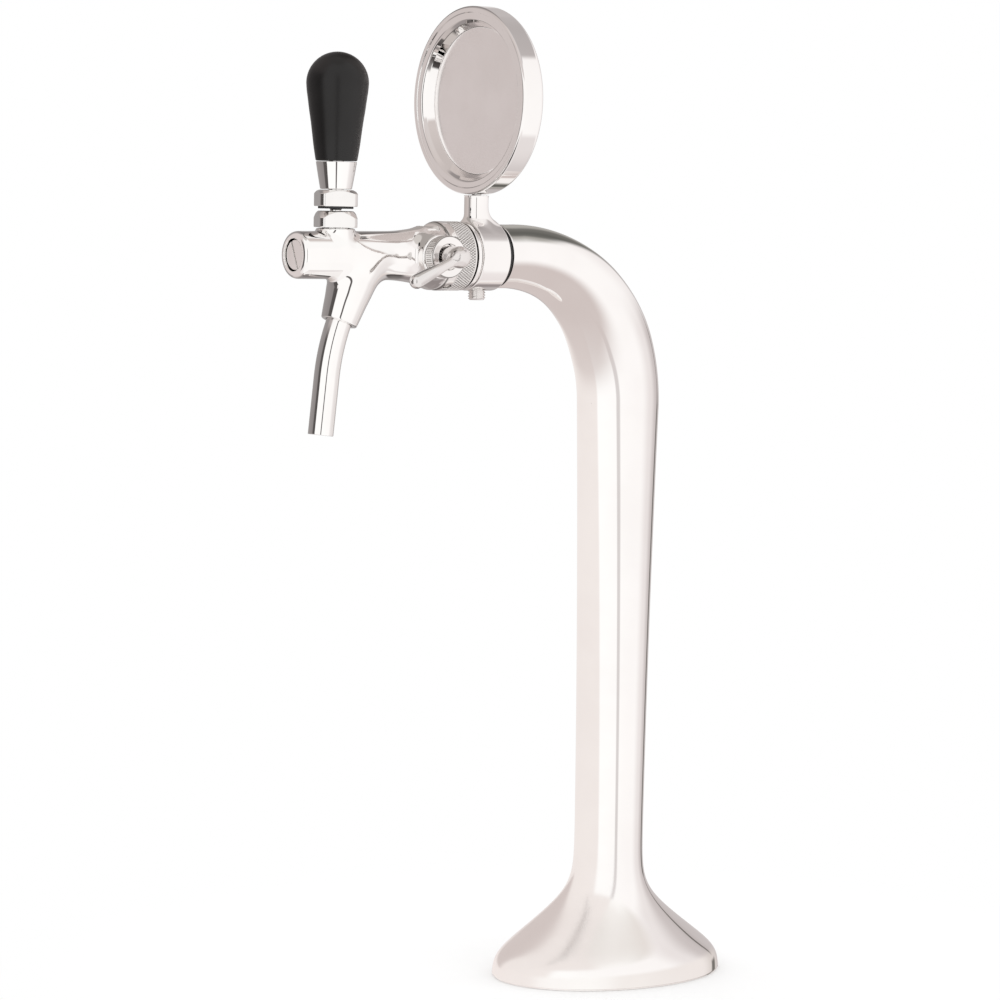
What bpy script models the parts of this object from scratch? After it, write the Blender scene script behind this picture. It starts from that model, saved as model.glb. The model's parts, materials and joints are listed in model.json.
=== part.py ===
"""Single-column beer tap tower with a compensator tap, modelled as separate parts.

Frame: metres, +Z up.  The origin is the middle of the oval foot on the counter top.
The arm and the tap reach towards -Y, the front; the flow lever is on the +X side.
Lengths below are in millimetres and are scaled to metres by MM.  The profile of a
turned piece is a list of (radius, station) points, the station running along its axis.
"""

from math import cos, exp, log, pi, radians, sin, sqrt

import bmesh
import bpy
import numpy as np
from mathutils import Matrix, Vector

for old in list(bpy.data.objects):
    bpy.data.objects.remove(old, do_unlink=True)

MM = 0.001
SHARP_ANGLE = radians(35)   # edges steeper than this are shaded sharp

# ---------------------------------------------------------------- tower column
TAP_Z = 357.0            # height of the arm and tap axis above the counter
ARM_END_Y = -77.6        # front face of the cast arm
ARM_END_R = 15.3
ARM_END_ROUND = 0.4      # edge break of the front face
ARM_BORE_R = 8.4
ARM_BORE_END = -64.5     # the bore for the shank opens into the hollow here
BEND_END_Y = -71.4       # the arm runs straight from here to its front face
BEND_START_Z = 284.0     # where the vertical column starts to lean over
BEND_UP = 38.4           # Bezier handle lengths of the bend
BEND_OUT = 46.5
FOOT_DEPTH = 62.6        # half length of the oval foot along Y
FOOT_WIDTH = 46.4        # half width of the oval foot along X
FLARE_Z = 41.8           # height where the cone of the foot would meet the column
FLARE_L = 32.0           # height of that cone
FLARE_SOFT = 5.5         # softness of the fillet between cone and column
LIP_SOFT = 0.075         # softness of the turn from cone to foot lip
TAPER_Z = 75.0           # the column's size is measured from this height
TAPER_L = 215.0          # height over which its size changes
WALL = 3.0               # casting wall
COLUMN_POINTS = 24       # points around each ring of the casting
SLEEVE_POINTS = 16

# ---------------------------------------------------------------- foot
RECESS_TOP = 2.4         # roof of the gasket recess under the foot
RECESS_INSET = 2.6       # recess edge, in from the foot's outline
SEAT_TOP = 8.0           # roof of the seat for the steel plate
SEAT_INSET = 9.6
GASKET_Z = (0.0, 2.0)
GASKET_INSET = 3.0
PLATE_Z = (4.4, 7.6)
PLATE_INSET = 10.0
PLATE_CUT_Z = (3.0, 9.0)     # span of the tools that drill the plate
GASKET_CUT_Z = (-2.0, 4.0)   # span of the tools that drill the gasket
SCREW_HOLE_R = 1.95
PLATE_SCREWS = [(0.0, -48.2), (0.0, 48.2), (-32.2, 0.0), (32.2, 0.0)]   # x, y
STUDS = [(0, -34), (22, 26), (-22, 26)]                                 # x, y
LINE_HOLE_R = 8.5
LINE_HOLE_Y = 12.5       # the two line holes stand this far either side of the middle

# ---------------------------------------------------------------- lines
LINE_START_Z = 14.0
BEER_OFFSET = 6.0        # beer hose, behind the column's centre line
COOLANT_OFFSET = -4.4    # cooling loop, in front of it
COOLANT_HALF = 6.4       # half the spacing of the loop's two legs
COOLANT_TOP = 0.34       # share of the bend where the loop turns back

# ---------------------------------------------------------------- medallion
COLLAR_Y0, COLLAR_Y1 = -96.3, -80.2
COLLAR_R = 16.5
COLLAR_CHAMFER = 0.8
STEM_Y = -89.6
STEM_R = 5.8
STUD_THREAD_R = 2.6
SET_SCREW_Y = STEM_Y + 1.2
MED_R = 44.75
MED_Z = TAP_Z + 74.2
MED_BACK, MED_FRONT = -83.4, -95.9
RIM_Y = -95.3            # flat rim inside the rounded bead
RECESS_R = 35.1
RECESS_FLOOR = -88.0

# ---------------------------------------------------------------- tap
NUT_FRONT = -115.8
NUT_REAR = -100.2
NUT_R = 16.5
SPANNER_HOLE_Y = -111.7
FLOW_Y = -122.1          # axis of the flow lever, parallel to X
HANDLE_Y = -171.1        # axis of the handle
PIVOT_RISE = 12.0        # centre of the ball the handle tilts on, above the tap axis
BALL_R = 5.5
BALL_SEAT_R = BALL_R + 0.35
DUST_R = 12.55           # sphere about the pivot that the dust ring's lip follows
PLUG_TURN = -23.0        # the slot of the front plug stands this far off the vertical
TAP_FRONT = -194.8
BRANCH_TILT = 20.3       # lean of the spout branch from the vertical
BRANCH_Y = -156.8        # where the branch axis crosses the tap axis
BRANCH_LEN = 33.5
SPOUT_R = 6.0
SPOUT_BORE_R = 5.0
SPOUT_TILT = 6.2         # lean of the lower end of the spout
SPOUT_BEND_L = 24.0      # length of the spout's curved part
SPOUT_BEND_STEPS = 6
SPOUT_DROP = 84.0        # spout mouth below the tap axis
NUT_AF = 18.0            # square nuts on the handle: across the flats
NUT_CORNER = 11.5        # radius their corners are turned to
NUT_TURN = -22.4         # heading of the flats about the handle axis
KNOB_R = 14.6
LEVER_DIP = 24.6         # flow lever below the horizontal
LEVER_X = 31.8           # where the lever's arm leaves the hub
HUB_R = 5.2
ECCENTRIC = 1.5          # throw of the flow shaft's pin
BORE_MOUTH_Y = -128.1    # wide end of the tapered part of the main bore
CONE_FULL_R = 8.15       # compensator cone's widest radius with no flow gap
CONE_GAP = 0.72          # radial flow gap around the cone with the lever at rest

# ================================================================ materials
CHROME = (0.80, 0.79, 0.78)
BRASS = (0.7, 0.55, 0.25)
CLAMP_GREY = (0.6, 0.6, 0.6)
SHAFT_GREY = (0.62, 0.62, 0.62)

FINISHES = {  # name: (base colour, roughness, metallic)
    "tower_chrome": (CHROME, 0.08, 1.0),
    "collar_chrome": (CHROME, 0.08, 1.0),
    "medallion_chrome": (CHROME, 0.08, 1.0),
    "tap_chrome": (CHROME, 0.08, 1.0),
    "ferrule_chrome": (CHROME, 0.08, 1.0),
    "spout_chrome": (CHROME, 0.08, 1.0),
    "lever_chrome": (CHROME, 0.08, 1.0),
    "nut_chrome": (CHROME, 0.1, 1.0),
    "plug_chrome": (CHROME, 0.1, 1.0),
    "bonnet_chrome": (CHROME, 0.1, 1.0),
    "lock_nut_chrome": (CHROME, 0.1, 1.0),
    "gland_chrome": (CHROME, 0.1, 1.0),
    "shank_chrome": (CHROME, 0.12, 1.0),
    "zinc_steel": ((0.55, 0.55, 0.52), 0.4, 1.0),
    "screw_steel": ((0.5, 0.5, 0.5), 0.35, 1.0),
    "clamp_steel": (CLAMP_GREY, 0.3, 1.0),
    "stud_steel": (CLAMP_GREY, 0.3, 1.0),
    "set_screw_steel": (CLAMP_GREY, 0.2, 1.0),
    "lever_steel": (SHAFT_GREY, 0.2, 1.0),
    "shaft_steel": (SHAFT_GREY, 0.2, 1.0),
    "badge_steel": ((0.68, 0.66, 0.65), 0.25, 1.0),
    "nut_brass": (BRASS, 0.3, 1.0),
    "insert_brass": (BRASS, 0.3, 1.0),
    "valve_brass": ((0.72, 0.58, 0.28), 0.25, 1.0),
    "black_rubber": ((0.03, 0.03, 0.03), 0.7, 0.0),
    "black_knob": ((0.035, 0.033, 0.035), 0.35, 0.0),
    "hose_plastic": ((0.75, 0.78, 0.8), 0.35, 0.0),
    "coolant_plastic": ((0.55, 0.68, 0.8), 0.35, 0.0),
    "compensator_plastic": ((0.8, 0.8, 0.76), 0.45, 0.0),
    "white_ptfe": ((0.86, 0.86, 0.84), 0.4, 0.0),
    "foam": ((0.12, 0.12, 0.13), 0.9, 0.0),
    "pad_foam": ((0.8, 0.8, 0.78), 0.9, 0.0),
}


def make_material(name, colour, roughness, metallic):
    material = bpy.data.materials.new(name)
    material.use_nodes = True
    inputs = material.node_tree.nodes["Principled BSDF"].inputs
    inputs["Base Color"].default_value = (*colour, 1.0)
    inputs["Roughness"].default_value = roughness
    inputs["Metallic"].default_value = metallic
    return material


MATERIALS = {name: make_material(name, *finish) for name, finish in FINISHES.items()}


# ================================================================ frames
def upright(x=0.0, y=0.0, z=0.0):
    return Matrix.Translation((x * MM, y * MM, z * MM))


def along_y(z=TAP_Z):
    """Local Z runs along world +Y; local X stays world X."""
    return upright(z=z) @ Matrix(((1, 0, 0), (0, 0, 1), (0, -1, 0))).to_4x4()


def along_x(y, z=TAP_Z):
    """Local Z runs along world +X."""
    return upright(y=y, z=z) @ Matrix(((0, 0, 1), (1, 0, 0), (0, 1, 0))).to_4x4()


def lean(tilt):
    """Unit vector pointing down, leaning towards -Y by tilt degrees."""
    return Vector((0, -sin(radians(tilt)), -cos(radians(tilt))))


TAP = along_y()
MEDALLION = along_y(MED_Z)
HANDLE = upright(y=HANDLE_Y, z=TAP_Z)
STEM = upright(y=STEM_Y, z=TAP_Z)
SET_SCREW = upright(y=SET_SCREW_Y, z=TAP_Z)
FLOW = along_x(FLOW_Y)
BRANCH = upright(y=BRANCH_Y, z=TAP_Z) @ Matrix.Rotation(pi - radians(BRANCH_TILT), 4, "X")


# ================================================================ helpers
def finish_mesh(bm, name, material, frame):
    """Turn a bmesh into a placed object; material is a name, or None for a cutting tool."""
    bmesh.ops.remove_doubles(bm, verts=bm.verts, dist=1e-7)
    bmesh.ops.recalc_face_normals(bm, faces=bm.faces)
    mesh = bpy.data.meshes.new(name)
    bm.to_mesh(mesh)
    bm.free()
    mesh.shade_smooth()
    mesh.set_sharp_from_angle(angle=SHARP_ANGLE)
    obj = bpy.data.objects.new(name, mesh)
    bpy.context.scene.collection.objects.link(obj)
    obj.matrix_world = frame
    if material:
        mesh.materials.append(MATERIALS[material])
    return obj


def turned(name, profile, segments, frame, material=None):
    """Spin a profile a full circle around local Z.
    A profile that starts and ends on the axis is closed by its poles."""
    bm = bmesh.new()
    verts = [bm.verts.new((radius * MM, 0, station * MM)) for radius, station in profile]
    edges = [bm.edges.new(pair) for pair in zip(verts, verts[1:])]
    if profile[0][0] > 0 or profile[-1][0] > 0:
        edges.append(bm.edges.new((verts[-1], verts[0])))
    bmesh.ops.spin(bm, geom=verts + edges, cent=(0, 0, 0), axis=(0, 0, 1), dvec=(0, 0, 0),
                   angle=2 * pi, steps=segments, use_merge=True, use_duplicate=False)
    return finish_mesh(bm, name, material, frame)


def arc(radius, centre, angles):
    """Profile points on a circle about a centre on the axis; angles in degrees."""
    return [(radius * cos(radians(a)), centre + radius * sin(radians(a))) for a in angles]


def ball_arc(radius, z0, z1, steps):
    """Points on a sphere about the handle pivot between two heights above the tap axis."""
    heights = [z0 + (z1 - z0) * i / steps for i in range(steps + 1)]
    return [(sqrt(max(radius ** 2 - (z - PIVOT_RISE) ** 2, 0.0)), z) for z in heights]


def o_ring(name, radius, cord_r, station, frame, segments=16, facets=5):
    angles = [2 * pi * (i + 0.5) / facets for i in range(facets)]
    profile = [(radius + cord_r * cos(a), station + cord_r * sin(a)) for a in angles]
    return turned(name, profile, segments, frame, "black_rubber")


def rod(name, radius, start, end, segments, frame, material=None, chamfer=0.0):
    if chamfer:
        profile = [(0, start), (radius - chamfer, start), (radius, start + chamfer),
                   (radius, end - chamfer), (radius - chamfer, end), (0, end)]
    else:
        profile = [(0, start), (radius, start), (radius, end), (0, end)]
    return turned(name, profile, segments, frame, material)


def block(name, size, centre, frame):
    bm = bmesh.new()
    bmesh.ops.create_cube(bm, size=1.0)
    bmesh.ops.scale(bm, vec=[s * MM for s in size], verts=bm.verts)
    bmesh.ops.translate(bm, vec=[c * MM for c in centre], verts=bm.verts)
    return finish_mesh(bm, name, None, frame)


def combine(obj, tool, operation, solver):
    tool.hide_render = True
    tool.display_type = "WIRE"
    modifier = obj.modifiers.new(operation.lower() + "_" + tool.name, "BOOLEAN")
    modifier.operation = operation
    modifier.object = tool
    modifier.solver = solver


def cut(obj, *tools, solver="EXACT"):
    for tool in tools:
        combine(obj, tool, "DIFFERENCE", solver)


def join(obj, *tools, solver="EXACT"):
    for tool in tools:
        combine(obj, tool, "UNION", solver)


def square_nut(name, profile, start, end, material):
    """Nut on the handle axis: a turned blank, chamfer already on it, cut to four flats."""
    blank = turned(name, profile, 24, HANDLE, material)
    flats = block(name + "_flats", (NUT_AF, NUT_AF, end - start + 2), (0, 0, (start + end) / 2),
                  HANDLE @ Matrix.Rotation(radians(NUT_TURN), 4, "Z"))
    combine(blank, flats, "INTERSECT", "MANIFOLD")
    return blank


def loft(name, rings, material, closed=True):
    """Rings of equal point count, each a list of mm points, skinned one to the next.
    closed=True joins the last ring to the first, which makes a hollow wall."""
    bm = bmesh.new()
    rows = [[bm.verts.new([c * MM for c in point]) for point in ring] for ring in rings]
    count = len(rows[0])
    for i in range(len(rows) if closed else len(rows) - 1):
        near, far = rows[i], rows[(i + 1) % len(rows)]
        for k in range(count):
            nxt = (k + 1) % count
            bm.faces.new((near[k], near[nxt], far[nxt], far[k]))
    if not closed:
        bm.faces.new(rows[0][::-1])
        bm.faces.new(rows[-1])
    return finish_mesh(bm, name, material, Matrix.Identity(4))


def tube(name, points, outer_r, inner_r, sides, material):
    """Hollow hose along a polyline of Vectors, its rings kept from twisting."""
    outer, inner = [], []
    side = None
    for i, point in enumerate(points):
        before = points[max(i - 1, 0)]
        after = points[min(i + 1, len(points) - 1)]
        tangent = (after - before).normalized()
        if side is None:
            side = tangent.orthogonal().normalized()
        side = (side - tangent * side.dot(tangent)).normalized()
        across = tangent.cross(side)
        for rings, radius in ((outer, outer_r), (inner, inner_r)):
            angles = [2 * pi * k / sides for k in range(sides)]
            rings.append([point + radius * (side * cos(a) + across * sin(a)) for a in angles])
    return loft(name, outer + inner[::-1], material)


# ================================================================ column shape
# A station is (y, z, direction y, direction z): a centre-line point and the line's heading.
BEND_CONTROLS = [(0.0, BEND_START_Z), (0.0, BEND_START_Z + BEND_UP),
                 (BEND_END_Y + BEND_OUT, TAP_Z), (BEND_END_Y, TAP_Z)]   # y, z


def upright_station(z):
    return 0.0, z, 0.0, 1.0


def arm_station(y, z=TAP_Z):
    return y, z, -1.0, 0.0


def bend_station(u):
    """Station on the bend's Bezier curve, u from 0 at the column to 1 at the arm."""
    v = 1 - u
    weights = (v ** 3, 3 * u * v ** 2, 3 * u * u * v, u ** 3)
    y, z = (sum(w * p[axis] for w, p in zip(weights, BEND_CONTROLS)) for axis in (0, 1))
    slopes = (3 * v ** 2, 6 * u * v, 3 * u * u)
    legs = list(zip(slopes, BEND_CONTROLS, BEND_CONTROLS[1:]))
    dir_y, dir_z = (sum(s * (q[axis] - p[axis]) for s, p, q in legs) for axis in (0, 1))
    length = sqrt(dir_y * dir_y + dir_z * dir_z)
    return y, z, dir_y / length, dir_z / length


def oval_ring(station, half_depth, half_width, count=COLUMN_POINTS):
    """Oval around a station: half_depth in the bend's plane, half_width along X."""
    y, z, dir_y, dir_z = station
    ring = []
    for k in range(count):
        angle = 2 * pi * k / count
        out = half_depth * cos(angle)
        ring.append((half_width * sin(angle), y + out * dir_z, z - out * dir_y))
    return ring


def foot_ring(z, inset):
    return oval_ring(upright_station(z), FOOT_DEPTH - inset, FOOT_WIDTH - inset)


def flare(z):
    """Share of the foot's extra width left at height z: 1 at the lip, 0 on the column."""
    cone = FLARE_SOFT / FLARE_L * log(1 + exp((FLARE_Z - z) / FLARE_SOFT))
    return 1 - LIP_SOFT * log(1 + exp((1 - cone) / LIP_SOFT))


def column_size(z):
    """Half depth and half width without the foot's flare; deeper towards the bend."""
    t = (max(z, 60.0) - TAPER_Z) / TAPER_L
    half_depth = 17.3 + 1.9 * t + 3.3 * t * t
    return half_depth, 16.6 + 0.1 * max((z - TAPER_Z) / TAPER_L, 0.0)


def flared_size(z):
    """Half depth and half width of the column with the foot's flare."""
    share = flare(z)
    depth, width = column_size(z)
    return depth + share * (FOOT_DEPTH - depth), width + share * (FOOT_WIDTH - width)


# share of the bend, half size
BEND_DEPTHS = [(0.0, column_size(BEND_START_Z)[0]), (0.25, 22.3), (0.5, 20.0), (0.75, 16.95),
               (1.0, ARM_END_R)]
BEND_WIDTHS = [(0.0, 16.7), (0.5, 16.5), (1.0, ARM_END_R)]


def bend_ring(u, inset=0.0, count=COLUMN_POINTS):
    depth, width = (float(np.interp(u, *zip(*table))) for table in (BEND_DEPTHS, BEND_WIDTHS))
    return oval_ring(bend_station(u), depth - inset, width - inset, count)


def column_outside():
    rings = [foot_ring(0.3, 0.8), foot_ring(1.1, 0.1)]
    for z in (4.5, 7.0, 9.3, 12, 18, 25, 31, 36, 42, 49, 58, 75, 145, 215, BEND_START_Z):
        rings.append(oval_ring(upright_station(z), *flared_size(z)))
    rings += [bend_ring(i / 11) for i in range(1, 12)]
    face_r = ARM_END_R - ARM_END_ROUND
    rings.append(oval_ring(arm_station(ARM_END_Y + ARM_END_ROUND), ARM_END_R, ARM_END_R))
    rings.append(oval_ring(arm_station(ARM_END_Y), face_r, face_r))
    return rings


def column_inside():
    """The bore in the end of the arm, then the hollow running back down to the foot."""
    rings = [oval_ring(arm_station(y), ARM_BORE_R, ARM_BORE_R) for y in (ARM_END_Y, ARM_BORE_END)]
    rings.append(oval_ring(arm_station(ARM_BORE_END, TAP_Z - 0.3), 12.2, 12.3))
    rings += [bend_ring(0.89 * i / 7, WALL) for i in range(6, -1, -1)]
    for z in (75, 52, 38, 28, 18, 8.0):
        depth, width = flared_size(z)
        wall = WALL + 4 * flare(z)
        rings.append(oval_ring(upright_station(z), min(depth - wall, FOOT_DEPTH - 18),
                               min(width - wall, FOOT_WIDTH - 18)))
    rings += [foot_ring(SEAT_TOP, SEAT_INSET), foot_ring(RECESS_TOP, SEAT_INSET)]
    rings += [foot_ring(RECESS_TOP, RECESS_INSET), foot_ring(0.3, RECESS_INSET)]
    return rings


def make_column():
    column = loft("tower_column", column_outside() + column_inside(), "tower_chrome")
    for i, (x, y) in enumerate(PLATE_SCREWS):
        cut(column, rod(f"screw_hole_{i}", SCREW_HOLE_R, 7.0, 12.6, 10, upright(x, y)))


# ================================================================ foot pieces
def make_foot_plate_and_gasket():
    gasket = loft("base_gasket", [foot_ring(z, GASKET_INSET) for z in GASKET_Z],
                  "black_rubber", closed=False)
    plate = loft("base_plate", [foot_ring(z, PLATE_INSET) for z in PLATE_Z],
                 "zinc_steel", closed=False)
    # one opening for the beer hose and one for the cooling loop, with a web between them
    for i, y in enumerate((LINE_HOLE_Y, -LINE_HOLE_Y)):
        frame = upright(y=y)
        cut(plate, rod(f"plate_line_hole_{i}", LINE_HOLE_R, *PLATE_CUT_Z, 20, frame))
        cut(gasket, rod(f"gasket_line_hole_{i}", LINE_HOLE_R, *GASKET_CUT_Z, 20, frame))
    # threaded holes for the counter studs, and clearance holes for them in the gasket
    for i, (x, y) in enumerate(STUDS):
        cut(plate, rod(f"plate_stud_hole_{i}", 3.4, *PLATE_CUT_Z, 12, upright(x, y)))
        cut(gasket, rod(f"gasket_stud_hole_{i}", 4.5, *GASKET_CUT_Z, 12, upright(x, y)))
    for i, (x, y) in enumerate(PLATE_SCREWS):
        cut(plate, rod(f"plate_screw_hole_{i}", SCREW_HOLE_R, *PLATE_CUT_Z, 10, upright(x, y)))


def make_plate_screws():
    """Pan heads below the plate, shanks up into the casting."""
    profile = [(0, 2.6), (2.6, 2.6), (3.2, 3.2), (3.2, 4.1), (1.55, 4.1), (1.55, 11.8), (0, 12.2)]
    for i, (x, y) in enumerate(PLATE_SCREWS):
        turned(f"plate_screw_{i + 1}", profile, 10, upright(x, y), "screw_steel")


# ================================================================ lines in the column
def line_stations(bend_share, column_steps, bend_steps):
    """Stations up the column and round the given share of the bend."""
    rise = BEND_START_Z - LINE_START_Z
    stations = [upright_station(LINE_START_Z + rise * i / column_steps)
                for i in range(column_steps)]
    return stations + [bend_station(bend_share * i / bend_steps) for i in range(bend_steps + 1)]


def side_point(station, x, offset):
    """Point beside a station; a positive offset is behind the column's centre line."""
    y, z, dir_y, dir_z = station
    return Vector((x, y + offset * dir_z, z - offset * dir_y))


def make_beer_line():
    """Beside the centre line in the column, eased onto it before the shank's barb."""
    column_steps, bend_steps = 6, 9
    points = []
    for i, station in enumerate(line_stations(0.8, column_steps, bend_steps)[:-1]):
        u = max(0.0, (i - column_steps) / bend_steps)
        ease = min(max((u - 0.4) / 0.55, 0.0), 1.0)
        points.append(side_point(station, 0.0, BEER_OFFSET * (1 - ease * ease * (3 - 2 * ease))))
    points += [Vector((0, y, TAP_Z)) for y in (-48.8, -50.4, -56.8)]
    tube("beer_line", points, 4.75, 3.65, 10, "hose_plastic")


def make_coolant_line():
    """Up on the +X side, round part-way up the bend, down on the -X side."""
    stations = line_stations(COOLANT_TOP, 4, 3)
    rising = [side_point(station, COOLANT_HALF, COOLANT_OFFSET) for station in stations]
    top = side_point(stations[-1], 0.0, COOLANT_OFFSET)
    sideways = Vector((1, 0, 0)) * COOLANT_HALF
    ahead = Vector((0, *stations[-1][2:])) * COOLANT_HALF
    turn = [top + sideways * cos(pi * k / 6) + ahead * sin(pi * k / 6) for k in range(1, 6)]
    falling = [Vector((-p.x, p.y, p.z)) for p in reversed(rising)]
    tube("coolant_line", rising + turn + falling, 2.9, 2.1, 6, "coolant_plastic")


def sleeve_skin(column_inset, bend_inset):
    rings = []
    for z in (70, 120, 200, BEND_START_Z):
        depth, width = column_size(z)
        rings.append(oval_ring(upright_station(z), depth - column_inset, width - column_inset,
                               SLEEVE_POINTS))
    return rings + [bend_ring(0.45 * i / 4, bend_inset, SLEEVE_POINTS) for i in range(1, 5)]


def make_insulation_sleeve():
    """Foam sleeve lining the hollow of the column."""
    outside = sleeve_skin(WALL + 0.5, WALL + 0.6)
    inside = sleeve_skin(WALL + 1.7, WALL + 1.7)
    loft("insulation_sleeve", outside + inside[::-1], "foam")


def make_hose_clamp():
    profile = [(5.15, -55.6), (5.8, -55.6), (5.8, -52.4), (5.15, -52.4)]
    turned("hose_clamp", profile, 16, TAP, "clamp_steel")


# ================================================================ shank through the arm
def make_shank():
    """Barbed at the hose end, flanged in front of the collar."""
    profile = [
        (2.2, -50.8), (2.8, -50.8), (3.2, -52.2), (2.8, -53.2), (3.2, -54.8), (2.8, -55.8),
        (2.8, -57.6), (7.8, -57.6), (7.8, -96.6), (14.7, -96.6), (14.7, -97.3), (16.35, -97.3),
        (16.35, -99.3), (11.1, -99.3), (11.1, -106.0), (4.0, -106.0), (4.0, -62.0), (2.2, -60.0)]
    turned("shank", profile, 20, TAP, "shank_chrome")


def make_shank_lock_nut():
    """Hexagonal nut: a turned blank, coned at its rear end, cut to six flats."""
    across_flats, start, end, bore = 18.0, -63.8, -58.4, 8.15
    corner = across_flats / sqrt(3.0)
    blank_r = corner + 0.25
    cone_end_r = across_flats / 2 - 2.1   # lies inside the bore
    cone_slope = 0.6 / 2.1
    profile = [(bore, start), (blank_r, start), (blank_r, end - (blank_r - cone_end_r) * cone_slope),
               (cone_end_r, end), (bore, end)]
    blank = turned("shank_lock_nut", profile, 24, TAP, "nut_brass")
    bm = bmesh.new()
    angles = [radians(4.0) + pi / 3 * i for i in range(6)]
    base = bm.faces.new([bm.verts.new((corner * MM * cos(a), corner * MM * sin(a),
                                       (start - 1) * MM)) for a in angles])
    raised = bmesh.ops.extrude_face_region(bm, geom=[base])["geom"]
    bmesh.ops.translate(bm, vec=(0, 0, (end - start + 2) * MM),
                        verts=[part for part in raised if isinstance(part, bmesh.types.BMVert)])
    flats = finish_mesh(bm, "shank_lock_nut_flats", None, TAP)
    combine(blank, flats, "INTERSECT", "MANIFOLD")


def make_arm_gasket():
    profile = [(8.15, -79.9), (14.6, -79.9), (14.8, -79.7), (14.8, -78.1), (14.6, -77.9),
               (8.15, -77.9)]
    turned("arm_gasket", profile, 24, TAP, "black_rubber")


# ================================================================ collar and medallion
def make_collar():
    face_r = COLLAR_R - COLLAR_CHAMFER
    ring = [(8.15, COLLAR_Y0), (face_r, COLLAR_Y0), (COLLAR_R, COLLAR_Y0 + COLLAR_CHAMFER),
            (COLLAR_R, COLLAR_Y1 - COLLAR_CHAMFER), (face_r, COLLAR_Y1), (8.15, COLLAR_Y1)]
    collar = turned("medallion_collar", ring, 28, TAP, "collar_chrome")
    stem = [(0, 12.5), (6.5, 12.5), (6.5, 17.4), (6.1, 19.4), (STEM_R, 22.0), (STEM_R, 27.8),
            (6.0, 29.05), (0, 29.05)]
    join(collar, turned("collar_stem", stem, 20, STEM), solver="MANIFOLD")
    cut(collar,
        rod("stem_thread", STUD_THREAD_R, 21.0, 30.0, 12, STEM),
        rod("set_screw_thread", 4.55, -18.0, -7.0, 14, SET_SCREW),
        solver="MANIFOLD")


def make_collar_set_screw():
    profile = [(0, -8.1), (3.2, -8.1), (4.2, -9.1), (4.2, -20.3), (3.5, -21.0), (1.9, -21.0),
               (1.9, -17.5), (0, -17.0)]
    turned("collar_set_screw", profile, 14, SET_SCREW, "set_screw_steel")


def make_medallion():
    """Dished housing with a rounded bead at its front, on a stud from the collar's stem."""
    profile = [
        (0, MED_BACK - 0.6), (30, MED_BACK - 0.3), (42.0, MED_BACK), (43.6, MED_BACK - 0.6),
        (44.5, MED_BACK - 1.7), (MED_R, MED_BACK - 2.8), (MED_R, MED_FRONT + 3.9),
        (44.3, MED_FRONT + 1.6), (43.3, MED_FRONT + 0.4), (42.4, MED_FRONT), (41.5, RIM_Y),
        (39.3, RIM_Y), (38.2, RIM_Y + 0.7), (37.0, RIM_Y + 2.0), (35.3, RIM_Y + 4.8),
        (RECESS_R, RIM_Y + 5.3), (RECESS_R, RECESS_FLOOR), (0, RECESS_FLOOR)]
    housing = turned("medallion_housing", profile, 32, MEDALLION, "medallion_chrome")
    cut(housing, rod("medallion_thread", STUD_THREAD_R, -46.5, -37.7, 12,
                     upright(y=STEM_Y, z=MED_Z)))
    rod("medallion_stud", 2.25, 21.4, 36.1, 12, STEM, "stud_steel", chamfer=0.4)


def make_badge():
    """Thin plate on a foam pad, in the housing's recess."""
    rod("badge_pad", 32.0, RECESS_FLOOR - 0.8, RECESS_FLOOR - 0.3, 20, MEDALLION, "pad_foam")
    rod("badge_plate", 34.8, RECESS_FLOOR - 1.9, RECESS_FLOOR - 1.1, 32, MEDALLION, "badge_steel")


# ================================================================ coupling
def make_coupling_nut():
    profile = [
        (11.5, NUT_REAR), (NUT_R - 0.7, NUT_REAR), (NUT_R, NUT_REAR - 0.7),
        (NUT_R, NUT_FRONT + 0.8), (NUT_R - 0.8, NUT_FRONT), (9.9, NUT_FRONT), (9.9, -110.7),
        (11.5, -110.7)]
    nut = turned("coupling_nut", profile, 24, TAP, "nut_chrome")
    # radial holes for a hook spanner
    for i in range(4):
        turn = Matrix.Rotation(radians(-118 + 90 * i), 4, "Y")
        cut(nut, rod(f"spanner_hole_{i}", 2.0, 13.8, 18.0, 10,
                     upright(y=SPANNER_HOLE_Y, z=TAP_Z) @ turn))


def make_union_gasket():
    profile = [(4.6, -107.9), (10.8, -107.9), (10.8, -106.3), (4.6, -106.3)]
    turned("union_gasket", profile, 20, TAP, "black_rubber")


# ================================================================ tap body
BARREL = [
    (0, TAP_FRONT), (9.3, TAP_FRONT), (10.5, TAP_FRONT + 0.5), (11.1, TAP_FRONT + 1.8),
    (11.15, -181), (11.3, -161), (11.5, -142.1), (11.75, -137.1), (12.25, -132.1),
    (12.9, -127.6), (14.1, -123.1), (15.4, -119.6), (16.15, -117.5), (16.2, -116.1),
    (9.5, -116.1), (9.5, -110.3), (11.2, -110.3), (11.2, -108.2), (0, -108.2)]
NECK = [(0, 0), (9.3, 0), (9.3, 5), (9.1, 11.9), (8.6, 12.5), (0, 12.5)]
SPOUT_BRANCH = [
    (0, 2), (10.6, 2), (11.6, 8), (11.4, 13), (10.8, 18), (10.0, 23), (9.3, 28.5), (8.8, 32),
    (8.6, BRANCH_LEN), (0, BRANCH_LEN)]
LEVER_BOSS = [(0, 2), (10.6, 2), (10.6, 15.4), (10.2, 16.6), (9.6, 17.2), (0, 17.2)]

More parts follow.
